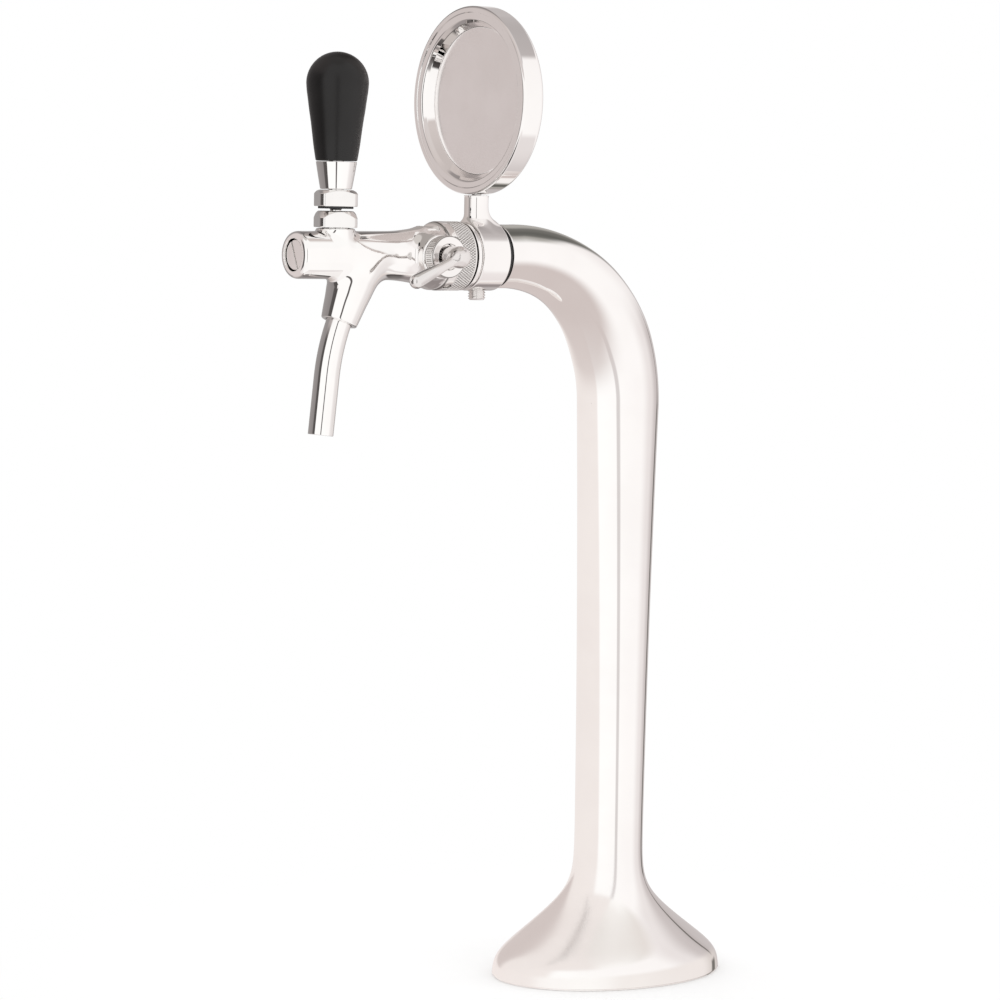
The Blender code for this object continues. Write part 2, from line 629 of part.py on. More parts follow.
MAIN_BORE = [
    (0, -197), (7.6, -197), (7.6, -184.8), (5.5, -184.8), (5.5, -148.1), (4.9, -148.1),
    (4.9, -144.1), (8.3, BORE_MOUTH_Y), (8.3, -107.1), (0, -107.1)]
NECK_BORE = [(0, 2.5), (3.7, 2.5), (3.7, 6.3), (6.6, 6.3), (6.6, 14.0), (0, 14.0)]
BRANCH_BORE = [
    (0, 3.0), (4.6, 3.0), (4.6, 23.5), (6.4, 23.5), (6.4, 26.6), (7.5, 26.6), (7.5, 28.6),
    (6.4, 28.6), (6.4, 36), (0, 36)]
BOSS_BORE = [(0, 6.0), (3.4, 6.0), (3.4, 11.0), (6.7, 11.0), (6.7, 19.0), (0, 19.0)]


def make_tap_body():
    """Turned barrel with a neck, a tilted spout branch and a lever boss, then the bores."""
    body = turned("tap_body", BARREL, 22, TAP, "tap_chrome")
    neck = turned("body_neck", NECK, 20, HANDLE)
    branch = turned("body_branch", SPOUT_BRANCH, 20, BRANCH)
    boss = turned("body_boss", LEVER_BOSS, 20, FLOW)
    # the boss is planed off at the back to clear the coupling nut
    cut(boss, block("boss_flat", (40, 20, 40), (10, -106.5, 0), upright(z=TAP_Z)))
    join(body, neck, branch, boss, solver="MANIFOLD")
    cut(body,
        turned("main_bore", MAIN_BORE, 18, TAP),
        turned("neck_bore", NECK_BORE, 20, HANDLE),
        turned("branch_bore", BRANCH_BORE, 20, BRANCH),
        turned("boss_bore", BOSS_BORE, 20, FLOW),
        solver="MANIFOLD")


def make_front_plug():
    """Slotted, recessed, drilled to guide the piston's nose."""
    profile = [
        (0, -193.8), (6.4, -193.8), (7.1, -193.2), (7.1, -190.0), (6.0, -190.0), (6.0, -188.2),
        (7.1, -188.2), (7.1, -185.2), (3.3, -185.2), (3.3, -191.5), (0, -191.5)]
    plug = turned("front_plug", profile, 24, TAP, "plug_chrome")
    cut(plug, block("plug_slot", (1.0, 2.2, 20.0), (0, -193.8, 0),
                    upright(z=TAP_Z) @ Matrix.Rotation(radians(PLUG_TURN), 4, "Y")))
    o_ring("plug_o_ring", 6.7, 0.62, -189.1, TAP)


# ================================================================ valve
def make_valve_seat():
    profile = [(4.5, -153.1), (5.15, -153.1), (5.15, -148.4), (4.5, -148.4)]
    turned("valve_seat", profile, 20, TAP, "white_ptfe")


def make_piston():
    """The piston and its two rings."""
    profile = [
        (0, -188.5), (2.5, -188.5), (2.9, -188.0), (2.9, -182.1), (5.1, -182.1), (5.1, -180.9),
        (4.1, -180.9), (4.1, -179.1), (5.1, -179.1), (5.1, -165.6), (2.2, -163.6),
        (2.2, -152.7), (3.9, -152.1), (3.9, -151.2), (2.6, -151.2), (2.6, -149.4),
        (3.9, -149.4), (3.9, -149.0), (2.6, -148.3), (0, -148.3)]
    piston = turned("valve_piston", profile, 16, TAP, "valve_brass")
    socket = [(0, -3.2), (2.7, -3.2), (2.7, 0.5), (3.9, 5.6), (3.9, 8.0), (0, 8.0)]
    cut(piston, turned("finger_socket", socket, 16, HANDLE))
    seal_ring = o_ring("piston_seal_ring", 3.45, 0.68, -150.3, TAP)
    guide_ring = o_ring("piston_guide_ring", 4.75, 0.55, -180.0, TAP)
    return [piston, seal_ring, guide_ring]


# ================================================================ handle
def make_ball_seat():
    profile = [(6.2, 9.5), (6.2, 6.6), (3.7, 6.6)] + ball_arc(BALL_SEAT_R, 7.5, 9.5, 3)
    turned("ball_seat", profile, 20, HANDLE, "white_ptfe")
    o_ring("ball_o_ring", 6.02, 0.34, 10.3, HANDLE)


def make_bonnet_nut():
    profile = [
        (6.15, 11.2), (6.15, 12.9), (11.2, 12.9), (NUT_CORNER, 13.2), (NUT_CORNER, 17.6),
        (8.5, 20.4), (7.6, 20.6), (6.0, 20.6), (4.45, 16.1)]
    profile += ball_arc(BALL_SEAT_R, 11.2, 15.6, 4)[::-1]
    square_nut("bonnet_nut", profile, 10.0, 21.0, "bonnet_chrome")


def make_handle_lever():
    """Finger, ball and rod in one turned piece."""
    profile = [(0, -2.2), (1.5, -1.6), (2.2, 0.0), (1.9, 1.1), (1.5, 2.2), (1.5, 6.4)]
    profile += ball_arc(BALL_R, 6.9, 17.0, 7)
    profile += [(2.6, 17.3), (2.6, 21.4), (3.5, 22.6), (3.5, 60.0), (2.9, 60.6), (0, 60.6)]
    return turned("handle_lever", profile, 18, HANDLE, "lever_steel")


def make_lock_nut():
    start, end = 22.7, 30.4
    profile = [
        (3.9, start), (6.9, start), (6.9, 23.6), (8.55, 23.6), (8.55, start), (11.2, start),
        (NUT_CORNER, 23.0), (NUT_CORNER, 28.6), (7.9, end), (3.9, end)]
    return square_nut("lock_nut", profile, start, end, "lock_nut_chrome")


def make_dust_ring():
    """Rubber ring held in a groove under the lock nut; its lip follows a sphere about
    the pivot, so it clears the bonnet."""
    lip = [(r, PIVOT_RISE + sqrt(DUST_R ** 2 - r ** 2)) for r in (7.6, 8.1)]
    profile = [(7.15, 22.2)] + lip + [(8.3, 21.8), (8.3, 23.4), (7.15, 23.4)]
    return turned("dust_ring", profile, 24, HANDLE, "black_rubber")


def make_ferrule():
    profile = [(3.9, 30.7), (6.9, 30.7), (7.55, 31.2), (8.53, 37.0), (9.45, 42.5), (9.5, 43.5),
               (3.9, 43.5)]
    return turned("handle_ferrule", profile, 20, HANDLE, "ferrule_chrome")


def make_knob():
    profile = [
        (0, 66.0), (4.95, 66.0), (4.95, 43.8), (9.4, 43.8), (9.85, 44.4), (10.83, 50.8),
        (12.2, 61.9), (13.83, 73.0), (14.5, 78.0)]
    profile += arc(KNOB_R, 79.8, (8, 28, 48, 68)) + [(0, 94.4)]
    return turned("handle_knob", profile, 22, HANDLE, "black_knob")


def make_knob_insert():
    profile = [(3.85, 45.0), (4.6, 45.0), (4.6, 60.0), (3.85, 60.0)]
    return turned("knob_insert", profile, 16, HANDLE, "insert_brass")


# ================================================================ spout
def make_spout():
    """Straight out of the branch, a short bend, then straight down to the mouth."""
    origin = Vector((0, BRANCH_Y, TAP_Z))
    points = [origin + lean(BRANCH_TILT) * distance for distance in (24.0, 36.0)]
    for i in range(SPOUT_BEND_STEPS):
        tilt = BRANCH_TILT - (BRANCH_TILT - SPOUT_TILT) * (i + 0.5) / SPOUT_BEND_STEPS
        points.append(points[-1] + lean(tilt) * (SPOUT_BEND_L / SPOUT_BEND_STEPS))
    remaining = (points[-1].z - (TAP_Z - SPOUT_DROP)) / cos(radians(SPOUT_TILT))
    points.append(points[-1] + lean(SPOUT_TILT) * remaining)
    tube("spout_tube", points, SPOUT_R, SPOUT_BORE_R, 20, "spout_chrome")
    o_ring("spout_o_ring", 6.78, 0.5, 27.6, BRANCH)


# ================================================================ flow control
def make_compensator():
    profile = [
        (0, -141.5), (3.0, -141.5), (3.9, -140.1), (CONE_FULL_R - CONE_GAP, -128.2),
        (7.0, -127.1), (5.0, -126.5), (5.0, -115.1), (4.4, -114.5), (0, -114.5)]
    cone = turned("compensator_cone", profile, 20, TAP, "compensator_plastic")
    cut(cone, block("pin_slot", (6.5, 3.4, 5.4), (3.6, FLOW_Y, -1.6), upright(z=TAP_Z)))
    return cone


def make_flow_shaft():
    profile = [(0, 6.2), (2.9, 6.2), (2.9, 30.5), (2.4, 31.0), (0, 31.0)]
    shaft = turned("flow_shaft", profile, 16, FLOW, "shaft_steel")
    join(shaft, rod("eccentric_pin", 1.3, 1.2, 7.0, 12, along_x(FLOW_Y, TAP_Z - ECCENTRIC)))
    o_ring("shaft_o_ring", 4.15, 0.85, 12.2, FLOW)
    return shaft


def make_gland_nut():
    profile = [
        (3.3, 13.4), (6.3, 13.4), (6.3, 17.5), (9.5, 17.5), (10.0, 18.0), (10.0, 23.0),
        (9.4, 23.6), (6.1, 23.6), (6.1, 20.0), (3.3, 20.0)]
    turned("gland_nut", profile, 22, FLOW, "gland_chrome")


def make_flow_lever():
    """Domed hub on the shaft, with an arm dipping towards the front."""
    profile = [(3.25, 20.3), (5.0, 20.3), (HUB_R, 20.6), (HUB_R, LEVER_X)]
    profile += arc(HUB_R, LEVER_X, (22, 45, 68))
    profile += [(0, LEVER_X + HUB_R), (0, 31.5), (3.25, 31.5)]
    hub = turned("flow_lever", profile, 20, FLOW, "lever_chrome")
    arm = [
        (0, 3.4), (2.9, 3.4), (2.35, 6.5), (2.3, 9.0), (2.55, 13.0), (2.95, 18.0),
        (3.3, 23.0), (3.45, 26.3), (3.2, 28.4), (2.2, 29.9), (0, 30.5)]
    dip = Matrix.Rotation(radians(90 + LEVER_DIP), 4, "X")
    join(hub, turned("lever_arm", arm, 16, upright(LEVER_X, FLOW_Y, TAP_Z) @ dip))
    return hub


# ================================================================ motion frames
def pivot(name, x, y, z, children):
    """Empty that carries the moving pieces, which stay where they are."""
    empty = bpy.data.objects.new(name, None)
    bpy.context.scene.collection.objects.link(empty)
    empty.location = (x * MM, y * MM, z * MM)
    bpy.context.view_layer.update()
    for child in children:
        world = child.matrix_world.copy()
        child.parent = empty
        child.matrix_parent_inverse = empty.matrix_world.inverted()
        child.matrix_world = world


# ================================================================ build
make_column()
make_foot_plate_and_gasket()
make_plate_screws()
make_beer_line()
make_coolant_line()
make_insulation_sleeve()
make_hose_clamp()
make_shank()
make_shank_lock_nut()
make_arm_gasket()
make_collar()
make_collar_set_screw()
make_medallion()
make_badge()
make_coupling_nut()
make_union_gasket()
make_tap_body()
make_front_plug()
make_valve_seat()
piston_parts = make_piston()
make_ball_seat()
make_bonnet_nut()
handle_parts = [make_handle_lever(), make_lock_nut(), make_dust_ring(), make_ferrule(),
                make_knob(), make_knob_insert()]
make_spout()
compensator = make_compensator()
flow_parts = [make_flow_shaft(), make_flow_lever()]
make_gland_nut()

pivot("handle_pivot", 0, HANDLE_Y, TAP_Z + PIVOT_RISE, handle_parts)
pivot("flow_lever_pivot", LEVER_X, FLOW_Y, TAP_Z, flow_parts)
pivot("valve_guide", 0, HANDLE_Y, TAP_Z, piston_parts)
pivot("compensator_guide", 0, BORE_MOUTH_Y, TAP_Z, [compensator])
bpy.context.view_layer.update()
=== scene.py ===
"""A beer tap tower with its tap, in chromed metal, inside a soft-box dome.

The column stands on the origin, +Z up. Its arm bends towards -Y and carries the medallion, the
coupling nut and the tap; the flow lever is on the +X side. Meshes are built in millimetres; the
studio and all shader positions are in metres.
"""
import json
from math import pi, sin, cos, tan, radians, degrees, sqrt, atan2

import bpy
import numpy as np
from mathutils import Matrix, Vector


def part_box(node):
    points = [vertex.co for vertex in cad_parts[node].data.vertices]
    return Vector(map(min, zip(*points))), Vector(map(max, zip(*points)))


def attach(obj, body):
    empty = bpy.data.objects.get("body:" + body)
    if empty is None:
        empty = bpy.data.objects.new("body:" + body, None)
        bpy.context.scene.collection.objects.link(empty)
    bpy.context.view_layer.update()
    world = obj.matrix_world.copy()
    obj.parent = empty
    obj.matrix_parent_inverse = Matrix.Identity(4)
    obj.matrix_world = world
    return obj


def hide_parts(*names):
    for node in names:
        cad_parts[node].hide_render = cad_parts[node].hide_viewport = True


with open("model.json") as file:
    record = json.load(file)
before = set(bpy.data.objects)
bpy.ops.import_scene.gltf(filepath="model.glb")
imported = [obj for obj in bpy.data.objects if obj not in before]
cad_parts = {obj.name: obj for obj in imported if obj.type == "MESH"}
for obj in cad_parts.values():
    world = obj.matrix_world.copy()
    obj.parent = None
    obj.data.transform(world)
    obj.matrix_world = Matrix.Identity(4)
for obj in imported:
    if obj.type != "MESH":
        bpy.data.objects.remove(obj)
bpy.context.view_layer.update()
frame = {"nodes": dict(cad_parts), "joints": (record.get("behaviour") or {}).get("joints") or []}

MM = 0.001
joints = {j["name"]: j for j in frame["joints"]}


def joint(name):
    return [c * 1000 for c in joints[name]["pos_m"]]


def cad_box(name):
    low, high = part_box(name)
    return [c * 1000 for c in low], [c * 1000 for c in high]


# ================================================================ datums (mm)
# Everything on the tap is placed from its axis, which runs along Y at height TAP_Z.
LEVER_X, FLOW_Y, TAP_Z = joint("flow_lever_turn")
_, HANDLE_Y, pivot_z = joint("handle_tilt")
PIVOT = pivot_z - TAP_Z  # centre of the handle's ball, above the tap's axis

column_low, column_high = cad_box("tower_column")
FOOT_DEPTH, FOOT_WIDTH = column_high[1], column_high[0]  # half sizes along Y and X
ARM_END_Y = column_low[1]

medal_low, medal_high = cad_box("medallion_housing")
MEDAL_R = max((medal_high[2] - medal_low[2]) / 2, 44.75)
MEDAL_Z = (medal_high[2] + medal_low[2]) / 2
MEDAL_FRONT, MEDAL_BACK = medal_low[1], medal_high[1]
plate_low, plate_high = cad_box("badge_plate")
pad_low, pad_high = cad_box("badge_pad")
TAP_FRONT = cad_box("tap_body")[0][1]


# ================================================================ meshes
def signed_volume(verts, faces):
    corner = [verts[column] for column in faces.T]
    return sum(np.einsum("ij,ij->i", corner[0], np.cross(corner[i], corner[i + 1])).sum()
               for i in range(1, len(corner) - 1)) / 6


def add_mesh(name, verts, quads, tris, normals, material, body, replaced):
    """Smooth mesh object from arrays in mm, faces turned outward, one normal per vertex."""
    if signed_volume(verts, quads) + signed_volume(verts, tris) < 0:
        quads, tris = quads[:, ::-1], tris[:, ::-1]
    mesh = bpy.data.meshes.new(name)
    n_quads, n_tris = len(quads), len(tris)
    mesh.vertices.add(len(verts))
    mesh.vertices.foreach_set("co", (verts * MM).astype(np.float32).ravel())
    loops = np.concatenate([quads.ravel(), tris.ravel()]).astype(np.int32)
    mesh.loops.add(len(loops))
    mesh.loops.foreach_set("vertex_index", loops)
    mesh.polygons.add(n_quads + n_tris)
    starts = np.concatenate([np.arange(n_quads) * 4, n_quads * 4 + np.arange(n_tris) * 3])
    mesh.polygons.foreach_set("loop_start", starts.astype(np.int32))
    mesh.polygons.foreach_set("use_smooth", np.ones(n_quads + n_tris, bool))
    mesh.update(calc_edges=True)
    mesh.validate()
    normals = normals / np.maximum(np.linalg.norm(normals, axis=1), 1e-9)[:, None]
    mesh.normals_split_custom_set_from_vertices(normals.astype(np.float32))
    obj = bpy.data.objects.new(name, mesh)
    bpy.context.scene.collection.objects.link(obj)
    mesh.materials.append(material)
    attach(obj, body)
    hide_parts(replaced)


def skin(rows, closed):
    """Quads between rows of vertex numbers, and triangles where a row is a single pole."""
    quads, tris = [np.zeros((0, 4), int)], [np.zeros((0, 3), int)]
    for a, b in zip(rows, rows[1:] + rows[:1] * closed):
        a_next, b_next = np.roll(a, -1), np.roll(b, -1)
        if len(a) == len(b):
            quads.append(np.stack([a, a_next, b_next, b], 1))
        elif len(a) == 1:
            tris.append(np.stack([a + 0 * b, b_next, b], 1))
        else:
            tris.append(np.stack([a, a_next, b + 0 * a], 1))
    return np.concatenate(quads), np.concatenate(tris)


def equal_rows(rings):
    """Vertex numbers of rings that all have the same number of points."""
    return list(np.arange(len(rings) * len(rings[0])).reshape(len(rings), -1))


def unit(vector):
    return vector / np.linalg.norm(vector)


def fillet(profile, closed, step):
    """Points and 2-D normals of a (radius, height, fillet radius) profile, with true arcs at
    its corners cut about every `step` degrees."""
    corners = [np.array(p[:2], float) for p in profile]
    count = len(corners)
    points, normals = [], []
    for i in range(count):
        before, here, after = corners[i - 1], corners[i], corners[(i + 1) % count]
        if not closed and i in (0, count - 1):
            way = unit(after - here if i == 0 else here - before)
            points.append(here)
            normals.append(np.array([way[1], -way[0]]))
            continue
        way_in, way_out = unit(here - before), unit(after - here)
        turn = atan2(way_in[0] * way_out[1] - way_in[1] * way_out[0], float(way_in @ way_out))
        radius = profile[i][2]
        if abs(turn) < 1e-3 or radius <= 0:
            points.append(here)
            normals.append(unit(np.array([way_in[1] + way_out[1], -way_in[0] - way_out[0]])))
            continue
        setback = min(radius * tan(abs(turn) / 2),
                      0.49 * np.linalg.norm(here - before), 0.49 * np.linalg.norm(after - here))
        radius = setback / tan(abs(turn) / 2)
        side = 1 if turn > 0 else -1
        first = np.array([way_in[1], -way_in[0]])
        centre = here - way_in * setback - first * radius * side
        pieces = max(2, int(abs(degrees(turn)) / step) + 1)
        for k in range(pieces + 1):
            angle = turn * k / pieces
            turned_by = np.array([[cos(angle), -sin(angle)], [sin(angle), cos(angle)]])
            normal = turned_by @ first
            points.append(centre + normal * radius * side)
            normals.append(normal)
    return np.array(points), np.array(normals)


def spun(name, points, normals, segments, material, body, replaced,
         origin=(0.0, 0.0, TAP_Z), axis=1):
    """Revolve (radius, height) points about an axis along Y (1) or Z (2) through the origin.
    A profile that starts on the axis also ends there; any other closes on itself."""
    r, h = points.T
    if np.sum(r * np.roll(h, -1) - np.roll(r, -1) * h) < 0:
        normals = -normals
    angles = np.arange(segments) * 2 * pi / segments

    def ring(radius, height):
        coords = [radius * np.cos(angles), radius * np.sin(angles)]
        coords.insert(axis, np.full(segments, float(height)))
        return np.stack(coords, 1)

    verts, directions, rows = [], [], []
    total = 0
    for (radius, height), (out, up) in zip(points, normals):
        pole = radius < 1e-6
        size = 1 if pole else segments
        verts.append(np.array(origin) + ring(radius, height)[:size])
        directions.append(ring(0.0 if pole else out, up)[:size])
        rows.append(total + np.arange(size))
        total += size
    quads, tris = skin(rows, bool(r[0] > 0))
    add_mesh(name, np.concatenate(verts), quads, tris, np.concatenate(directions),
             material, body, replaced)


def turned(name, profile, segments, material, body, replaced, step=12.0, **placing):
    """Turned part from a (radius, height, fillet radius) profile."""
    points, normals = fillet(profile, profile[0][0] > 0, step)
    spun(name, points, normals, segments, material, body, replaced, **placing)


def monotone(knots, at):
    """Monotone cubic through (station, value) knots."""
    x, v = zip(*knots)
    n = len(x)
    rise = [(v[i + 1] - v[i]) / (x[i + 1] - x[i]) for i in range(n - 1)]
    slope = [rise[0]]
    for a, b in zip(rise, rise[1:]):
        slope.append(0.0 if a * b <= 0 else 2 * a * b / (a + b))
    slope.append(rise[-1])
    i = min(max(sum(1 for q in x if q <= at) - 1, 0), n - 2)
    h = x[i + 1] - x[i]
    t = (at - x[i]) / h
    return (v[i] * (1 + 2 * t) * (1 - t) ** 2 + slope[i] * h * t * (1 - t) ** 2
            + v[i + 1] * t * t * (3 - 2 * t) + slope[i + 1] * h * t * t * (t - 1))


def lookup(knots):
    """The same cubic sampled once, for use on arrays."""
    stations = np.linspace(knots[0][0], knots[-1][0], 600)
    values = np.array([monotone(knots, q) for q in stations])
    return lambda q: np.interp(q, stations, values)


# ---------------------------------------------------------------- implicit solids
# Shapes are distance-like fields in mm, negative inside.
def join(a, b, rounding):
    h = np.clip(0.5 + 0.5 * (b - a) / rounding, 0, 1)
    return b * (1 - h) + a * h - rounding * h * (1 - h)


def trim(a, b, rounding):
    """What lies inside both a and b."""
    return -join(-a, -b, rounding)


def drill(solid, hole, rounding):
    return trim(solid, -hole, rounding)


def slab(v, low, high):
    return np.maximum(low - v, v - high)


def zigzag(turns):
    """1 at whole numbers, 0 half way between them."""
    return np.abs(2 * (turns - np.floor(turns)) - 1)


def implicit(name, shape, low, high, step, material, body, replaced, relax=2, at=(0, 0, 0)):
    """Mesh of shape = 0 by surface nets on a grid, each vertex then walked onto the surface."""
    low = np.array(low, float) - 2 * step
    high = np.array(high, float) + 2 * step
    count = np.ceil((high - low) / step).astype(int) + 1
    axes = [low[i] + step * np.arange(count[i]) for i in range(3)]
    field = np.empty(tuple(count), np.float64)
    for i in range(0, count[0], 24):  # in slices, to save memory
        part = slice(i, i + 24)
        field[part] = shape(*np.meshgrid(axes[0][part], axes[1], axes[2], indexing="ij"))
    inside = field < 0

    # one vertex in every cell that the surface crosses, at the mean of its edge crossings
    corners = [(i, j, k) for i in (0, 1) for j in (0, 1) for k in (0, 1)]
    sides = [inside[i:count[0] - 1 + i, j:count[1] - 1 + j, k:count[2] - 1 + k]
             for i, j, k in corners]
    active = np.any(sides, axis=0) & ~np.all(sides, axis=0)
    cells = np.argwhere(active)
    number = -np.ones(active.shape, np.int64)
    number[active] = np.arange(len(cells))
    total, hits = np.zeros((len(cells), 3)), np.zeros(len(cells))
    for corner in corners:
        for axis in range(3):
            if corner[axis] == 1:
                continue
            near = np.array(corner)
            far = near.copy()
            far[axis] = 1
            a, b = field[tuple((cells + near).T)], field[tuple((cells + far).T)]
            crossed = (a < 0) != (b < 0)
            point = np.tile(near.astype(float), (len(cells), 1))
            point[:, axis] = np.where(crossed, a / np.where(crossed, a - b, 1.0), 0.0)
            total += point * crossed[:, None]
            hits += crossed
    verts = low + step * (cells + total / hits[:, None])

    # one quad across every grid edge that the surface crosses
    quads = []
    for axis in range(3):
        across = [d for d in range(3) if d != axis]
        near = [slice(1, n - 1) for n in count]
        far = list(near)
        near[axis], far[axis] = slice(0, count[axis] - 1), slice(1, count[axis])
        near, far = inside[tuple(near)], inside[tuple(far)]
        crossed = near != far
        edges = np.argwhere(crossed)
        edges[:, across] += 1
        u, v = np.eye(3, dtype=int)[across]
        quad = np.stack([number[tuple((edges - back).T)] for back in (u + v, v, 0 * u, u)], 1)
        flipped = near[crossed] == (axis == 1)
        quad[flipped] = quad[flipped][:, ::-1]
        quads.append(quad)
    quads = np.concatenate(quads)

    def gradient(verts):
        nudge = 0.02
        return np.stack([(shape(*(verts + d).T) - shape(*(verts - d).T)) / (2 * nudge)
                         for d in nudge * np.eye(3)], 1)

    def project(verts, rounds):
        for _ in range(rounds):
            distance, slope = shape(*verts.T), gradient(verts)
            steepness = np.maximum((slope * slope).sum(1), 0.05)
            verts = verts - np.clip(distance / steepness, -step, step)[:, None] * slope
        return verts

    verts = project(verts, 3)
    n = len(verts)
    start, end = quads.T.ravel(), np.roll(quads, -1, axis=1).T.ravel()
    degree = np.bincount(start, minlength=n) + np.bincount(end, minlength=n)
    for _ in range(relax):
        around = np.stack([np.bincount(start, verts[end, d], n)
                           + np.bincount(end, verts[start, d], n) for d in range(3)], 1)
        verts = project(0.5 * verts + 0.5 * around / degree[:, None], 1)
    verts = project(verts, 2)
    add_mesh(name, verts + np.array(at, float), quads, np.zeros((0, 3), int), gradient(verts),
             material, body, replaced)


# ================================================================ materials
class Shader:
    """Writes one node tree. An input takes a value or another node's output."""

    def __init__(self, tree):
        self.nodes, self.links = tree.nodes, tree.links

    def fill(self, node, inputs):
        for socket, value in inputs.items():
            if isinstance(value, bpy.types.NodeSocket):
                self.links.new(value, node.inputs[socket])
            else:
                node.inputs[socket].default_value = value
        return node

    def add(self, kind, inputs, **props):
        node = self.nodes.new(kind)
        for prop, value in props.items():
            setattr(node, prop, value)
        return self.fill(node, inputs)

    def split(self, vector):
        return self.add("ShaderNodeSeparateXYZ", {0: vector}).outputs

    def math(self, operation, *values):
        return self.add("ShaderNodeMath", dict(enumerate(values)), operation=operation).outputs[0]

    def radius(self, u, v):
        squares = self.math("ADD", self.math("MULTIPLY", u, u), self.math("MULTIPLY", v, v))
        return self.math("SQRT", squares)

    def noise(self, coords, scale, detail, rough, distortion=0.0):
        return self.add("ShaderNodeTexNoise", {
            "Vector": coords, "Scale": scale, "Detail": detail, "Roughness": rough,
            "Distortion": distortion}).outputs["Fac"]

    def spread(self, value, start, end, low=0.0, high=1.0, smooth=False):
        """Map start..end of a value to low..high, clamped."""
        return self.add("ShaderNodeMapRange", {
            "Value": value, "From Min": start, "From Max": end, "To Min": low, "To Max": high,
        }, clamp=True, interpolation_type="SMOOTHSTEP" if smooth else "LINEAR").outputs["Result"]

    def mix(self, factor, a, b):
        a, b = ((*c, 1.0) if isinstance(c, tuple) else c for c in (a, b))
        return self.add("ShaderNodeMix", {0: factor, 6: a, 7: b}, data_type="RGBA").outputs[2]

    def bump(self, height, strength, distance, normal=None):
        inputs = {"Strength": strength, "Distance": distance, "Height": height}
        if normal is not None:
            inputs["Normal"] = normal
        return self.add("ShaderNodeBump", inputs).outputs[0]

    def roughness(self, broad, fine, broad_share, span):
        both = self.math("ADD", self.math("MULTIPLY", broad, broad_share),
                         self.math("MULTIPLY", fine, 1 - broad_share))
        return self.spread(both, 0.3, 0.7, *span)


def new_material(name):
    material = bpy.data.materials.new(name)
    material.use_nodes = True
    return material


def opened(material):
    """The material's shader, its surface node and fresh object coordinates."""
    shader = Shader(material.node_tree)
    coords = shader.add("ShaderNodeTexCoord", {}).outputs["Object"]
    return shader, shader.nodes["Principled BSDF"], coords


def metal(name, light, dark, roughness, wave=0.0, brushed=0.0, stretch=None, grime=0.0):
    """Metal with drifting tint and haze; wave is the strength of soft polishing waves, brushed
    that of hairlines on coordinates scaled by stretch, grime the weight of dark spots."""
    material = new_material(name)
    shader, surface, coords = opened(material)
    broad = shader.noise(coords, scale=38.0, detail=3.0, rough=0.55)
    fine = shader.noise(coords, scale=900.0, detail=2.0, rough=0.6)
    tint = shader.mix(shader.spread(broad, 0.3, 0.72, smooth=True), light, dark)
    if grime:
        spots = shader.noise(coords, scale=230.0, detail=4.0, rough=0.7, distortion=0.6)
        tint = shader.mix(shader.spread(spots, 0.58, 0.8, high=grime), tint,
                          tuple(c * 0.45 for c in dark))
    normal = None
    if wave:
        waves = shader.noise(coords, scale=55.0, detail=1.5, rough=0.4)
        normal = shader.bump(waves, strength=wave, distance=0.0004)
    if brushed:
        mapping = shader.add("ShaderNodeMapping", {"Vector": coords, "Scale": stretch})
        hairs = shader.noise(mapping.outputs[0], scale=60.0, detail=3.0, rough=0.6)
        normal = shader.bump(hairs, strength=brushed, distance=0.00012, normal=normal)
    shader.fill(surface, {
        "Base Color": tint, "Metallic": 1.0, "Normal": normal,
        "Roughness": shader.roughness(broad, fine, 0.7, roughness)})
    return material


def knurled(name, axis, centre, radius, depth):
    """Chrome with painted shade darkening its knurl grooves, on a part turned about `axis`."""
    material = metal(name, light=(0.93, 0.915, 0.905), dark=(0.88, 0.865, 0.85),
                     roughness=(0.05, 0.12), wave=0.02)
    shader, surface, coords = opened(material)
    place = shader.split(coords)
    u, v = (shader.math("SUBTRACT", place[k], middle * MM)
            for k, middle in zip([k for k in range(3) if k != axis], centre))
    r = shader.radius(u, v)
    # painted shade: masks that are strongest at the bottom of the knurl grooves, and only near
    # the outer surface
    deep = shader.spread(r, (radius - depth) * MM, (radius - 0.25 * depth) * MM, 1.0, 0.0)
    rim = shader.spread(r, (radius - 2.5 * depth) * MM, (radius - 1.5 * depth) * MM)
    unshaded_tint = surface.inputs["Base Color"].links[0].from_socket
    # painted shade: the grooves' base colour is mixed towards dark grey (0.22, 0.21, 0.20)
    groove_shaded_tint = shader.mix(shader.math("MULTIPLY", deep, rim), unshaded_tint, (0.22, 0.21, 0.20))
    shader.fill(surface, {"Base Color": groove_shaded_tint})
    return material


def moulded(name, light, dark, roughness, scale=120.0, grain=0.2, depth=0.0002, coat=0.0,
            specular=0.5, subsurface=0.0):
    """Plastic, rubber or foam: mottled, with a moulded grain of the given strength and depth."""
    material = new_material(name)
    shader, surface, coords = opened(material)
    broad = shader.noise(coords, scale=scale * 0.25, detail=3.0, rough=0.5)
    fine = shader.noise(coords, scale=scale * 8, detail=3.0, rough=0.6)
    grains = shader.noise(coords, scale=scale * 5, detail=2.0, rough=0.5)
    shader.fill(surface, {
        "Base Color": shader.mix(shader.spread(broad, 0.32, 0.7, smooth=True), light, dark),
        "Roughness": shader.roughness(broad, fine, 0.6, roughness),
        "Specular IOR Level": specular, "Coat Weight": coat, "Coat Roughness": 0.15,
        "Normal": shader.bump(grains, strength=grain, distance=depth)})
    if subsurface:
        shader.fill(surface, {"Subsurface Weight": subsurface,
                              "Subsurface Radius": (0.002, 0.0015, 0.001)})
    return material


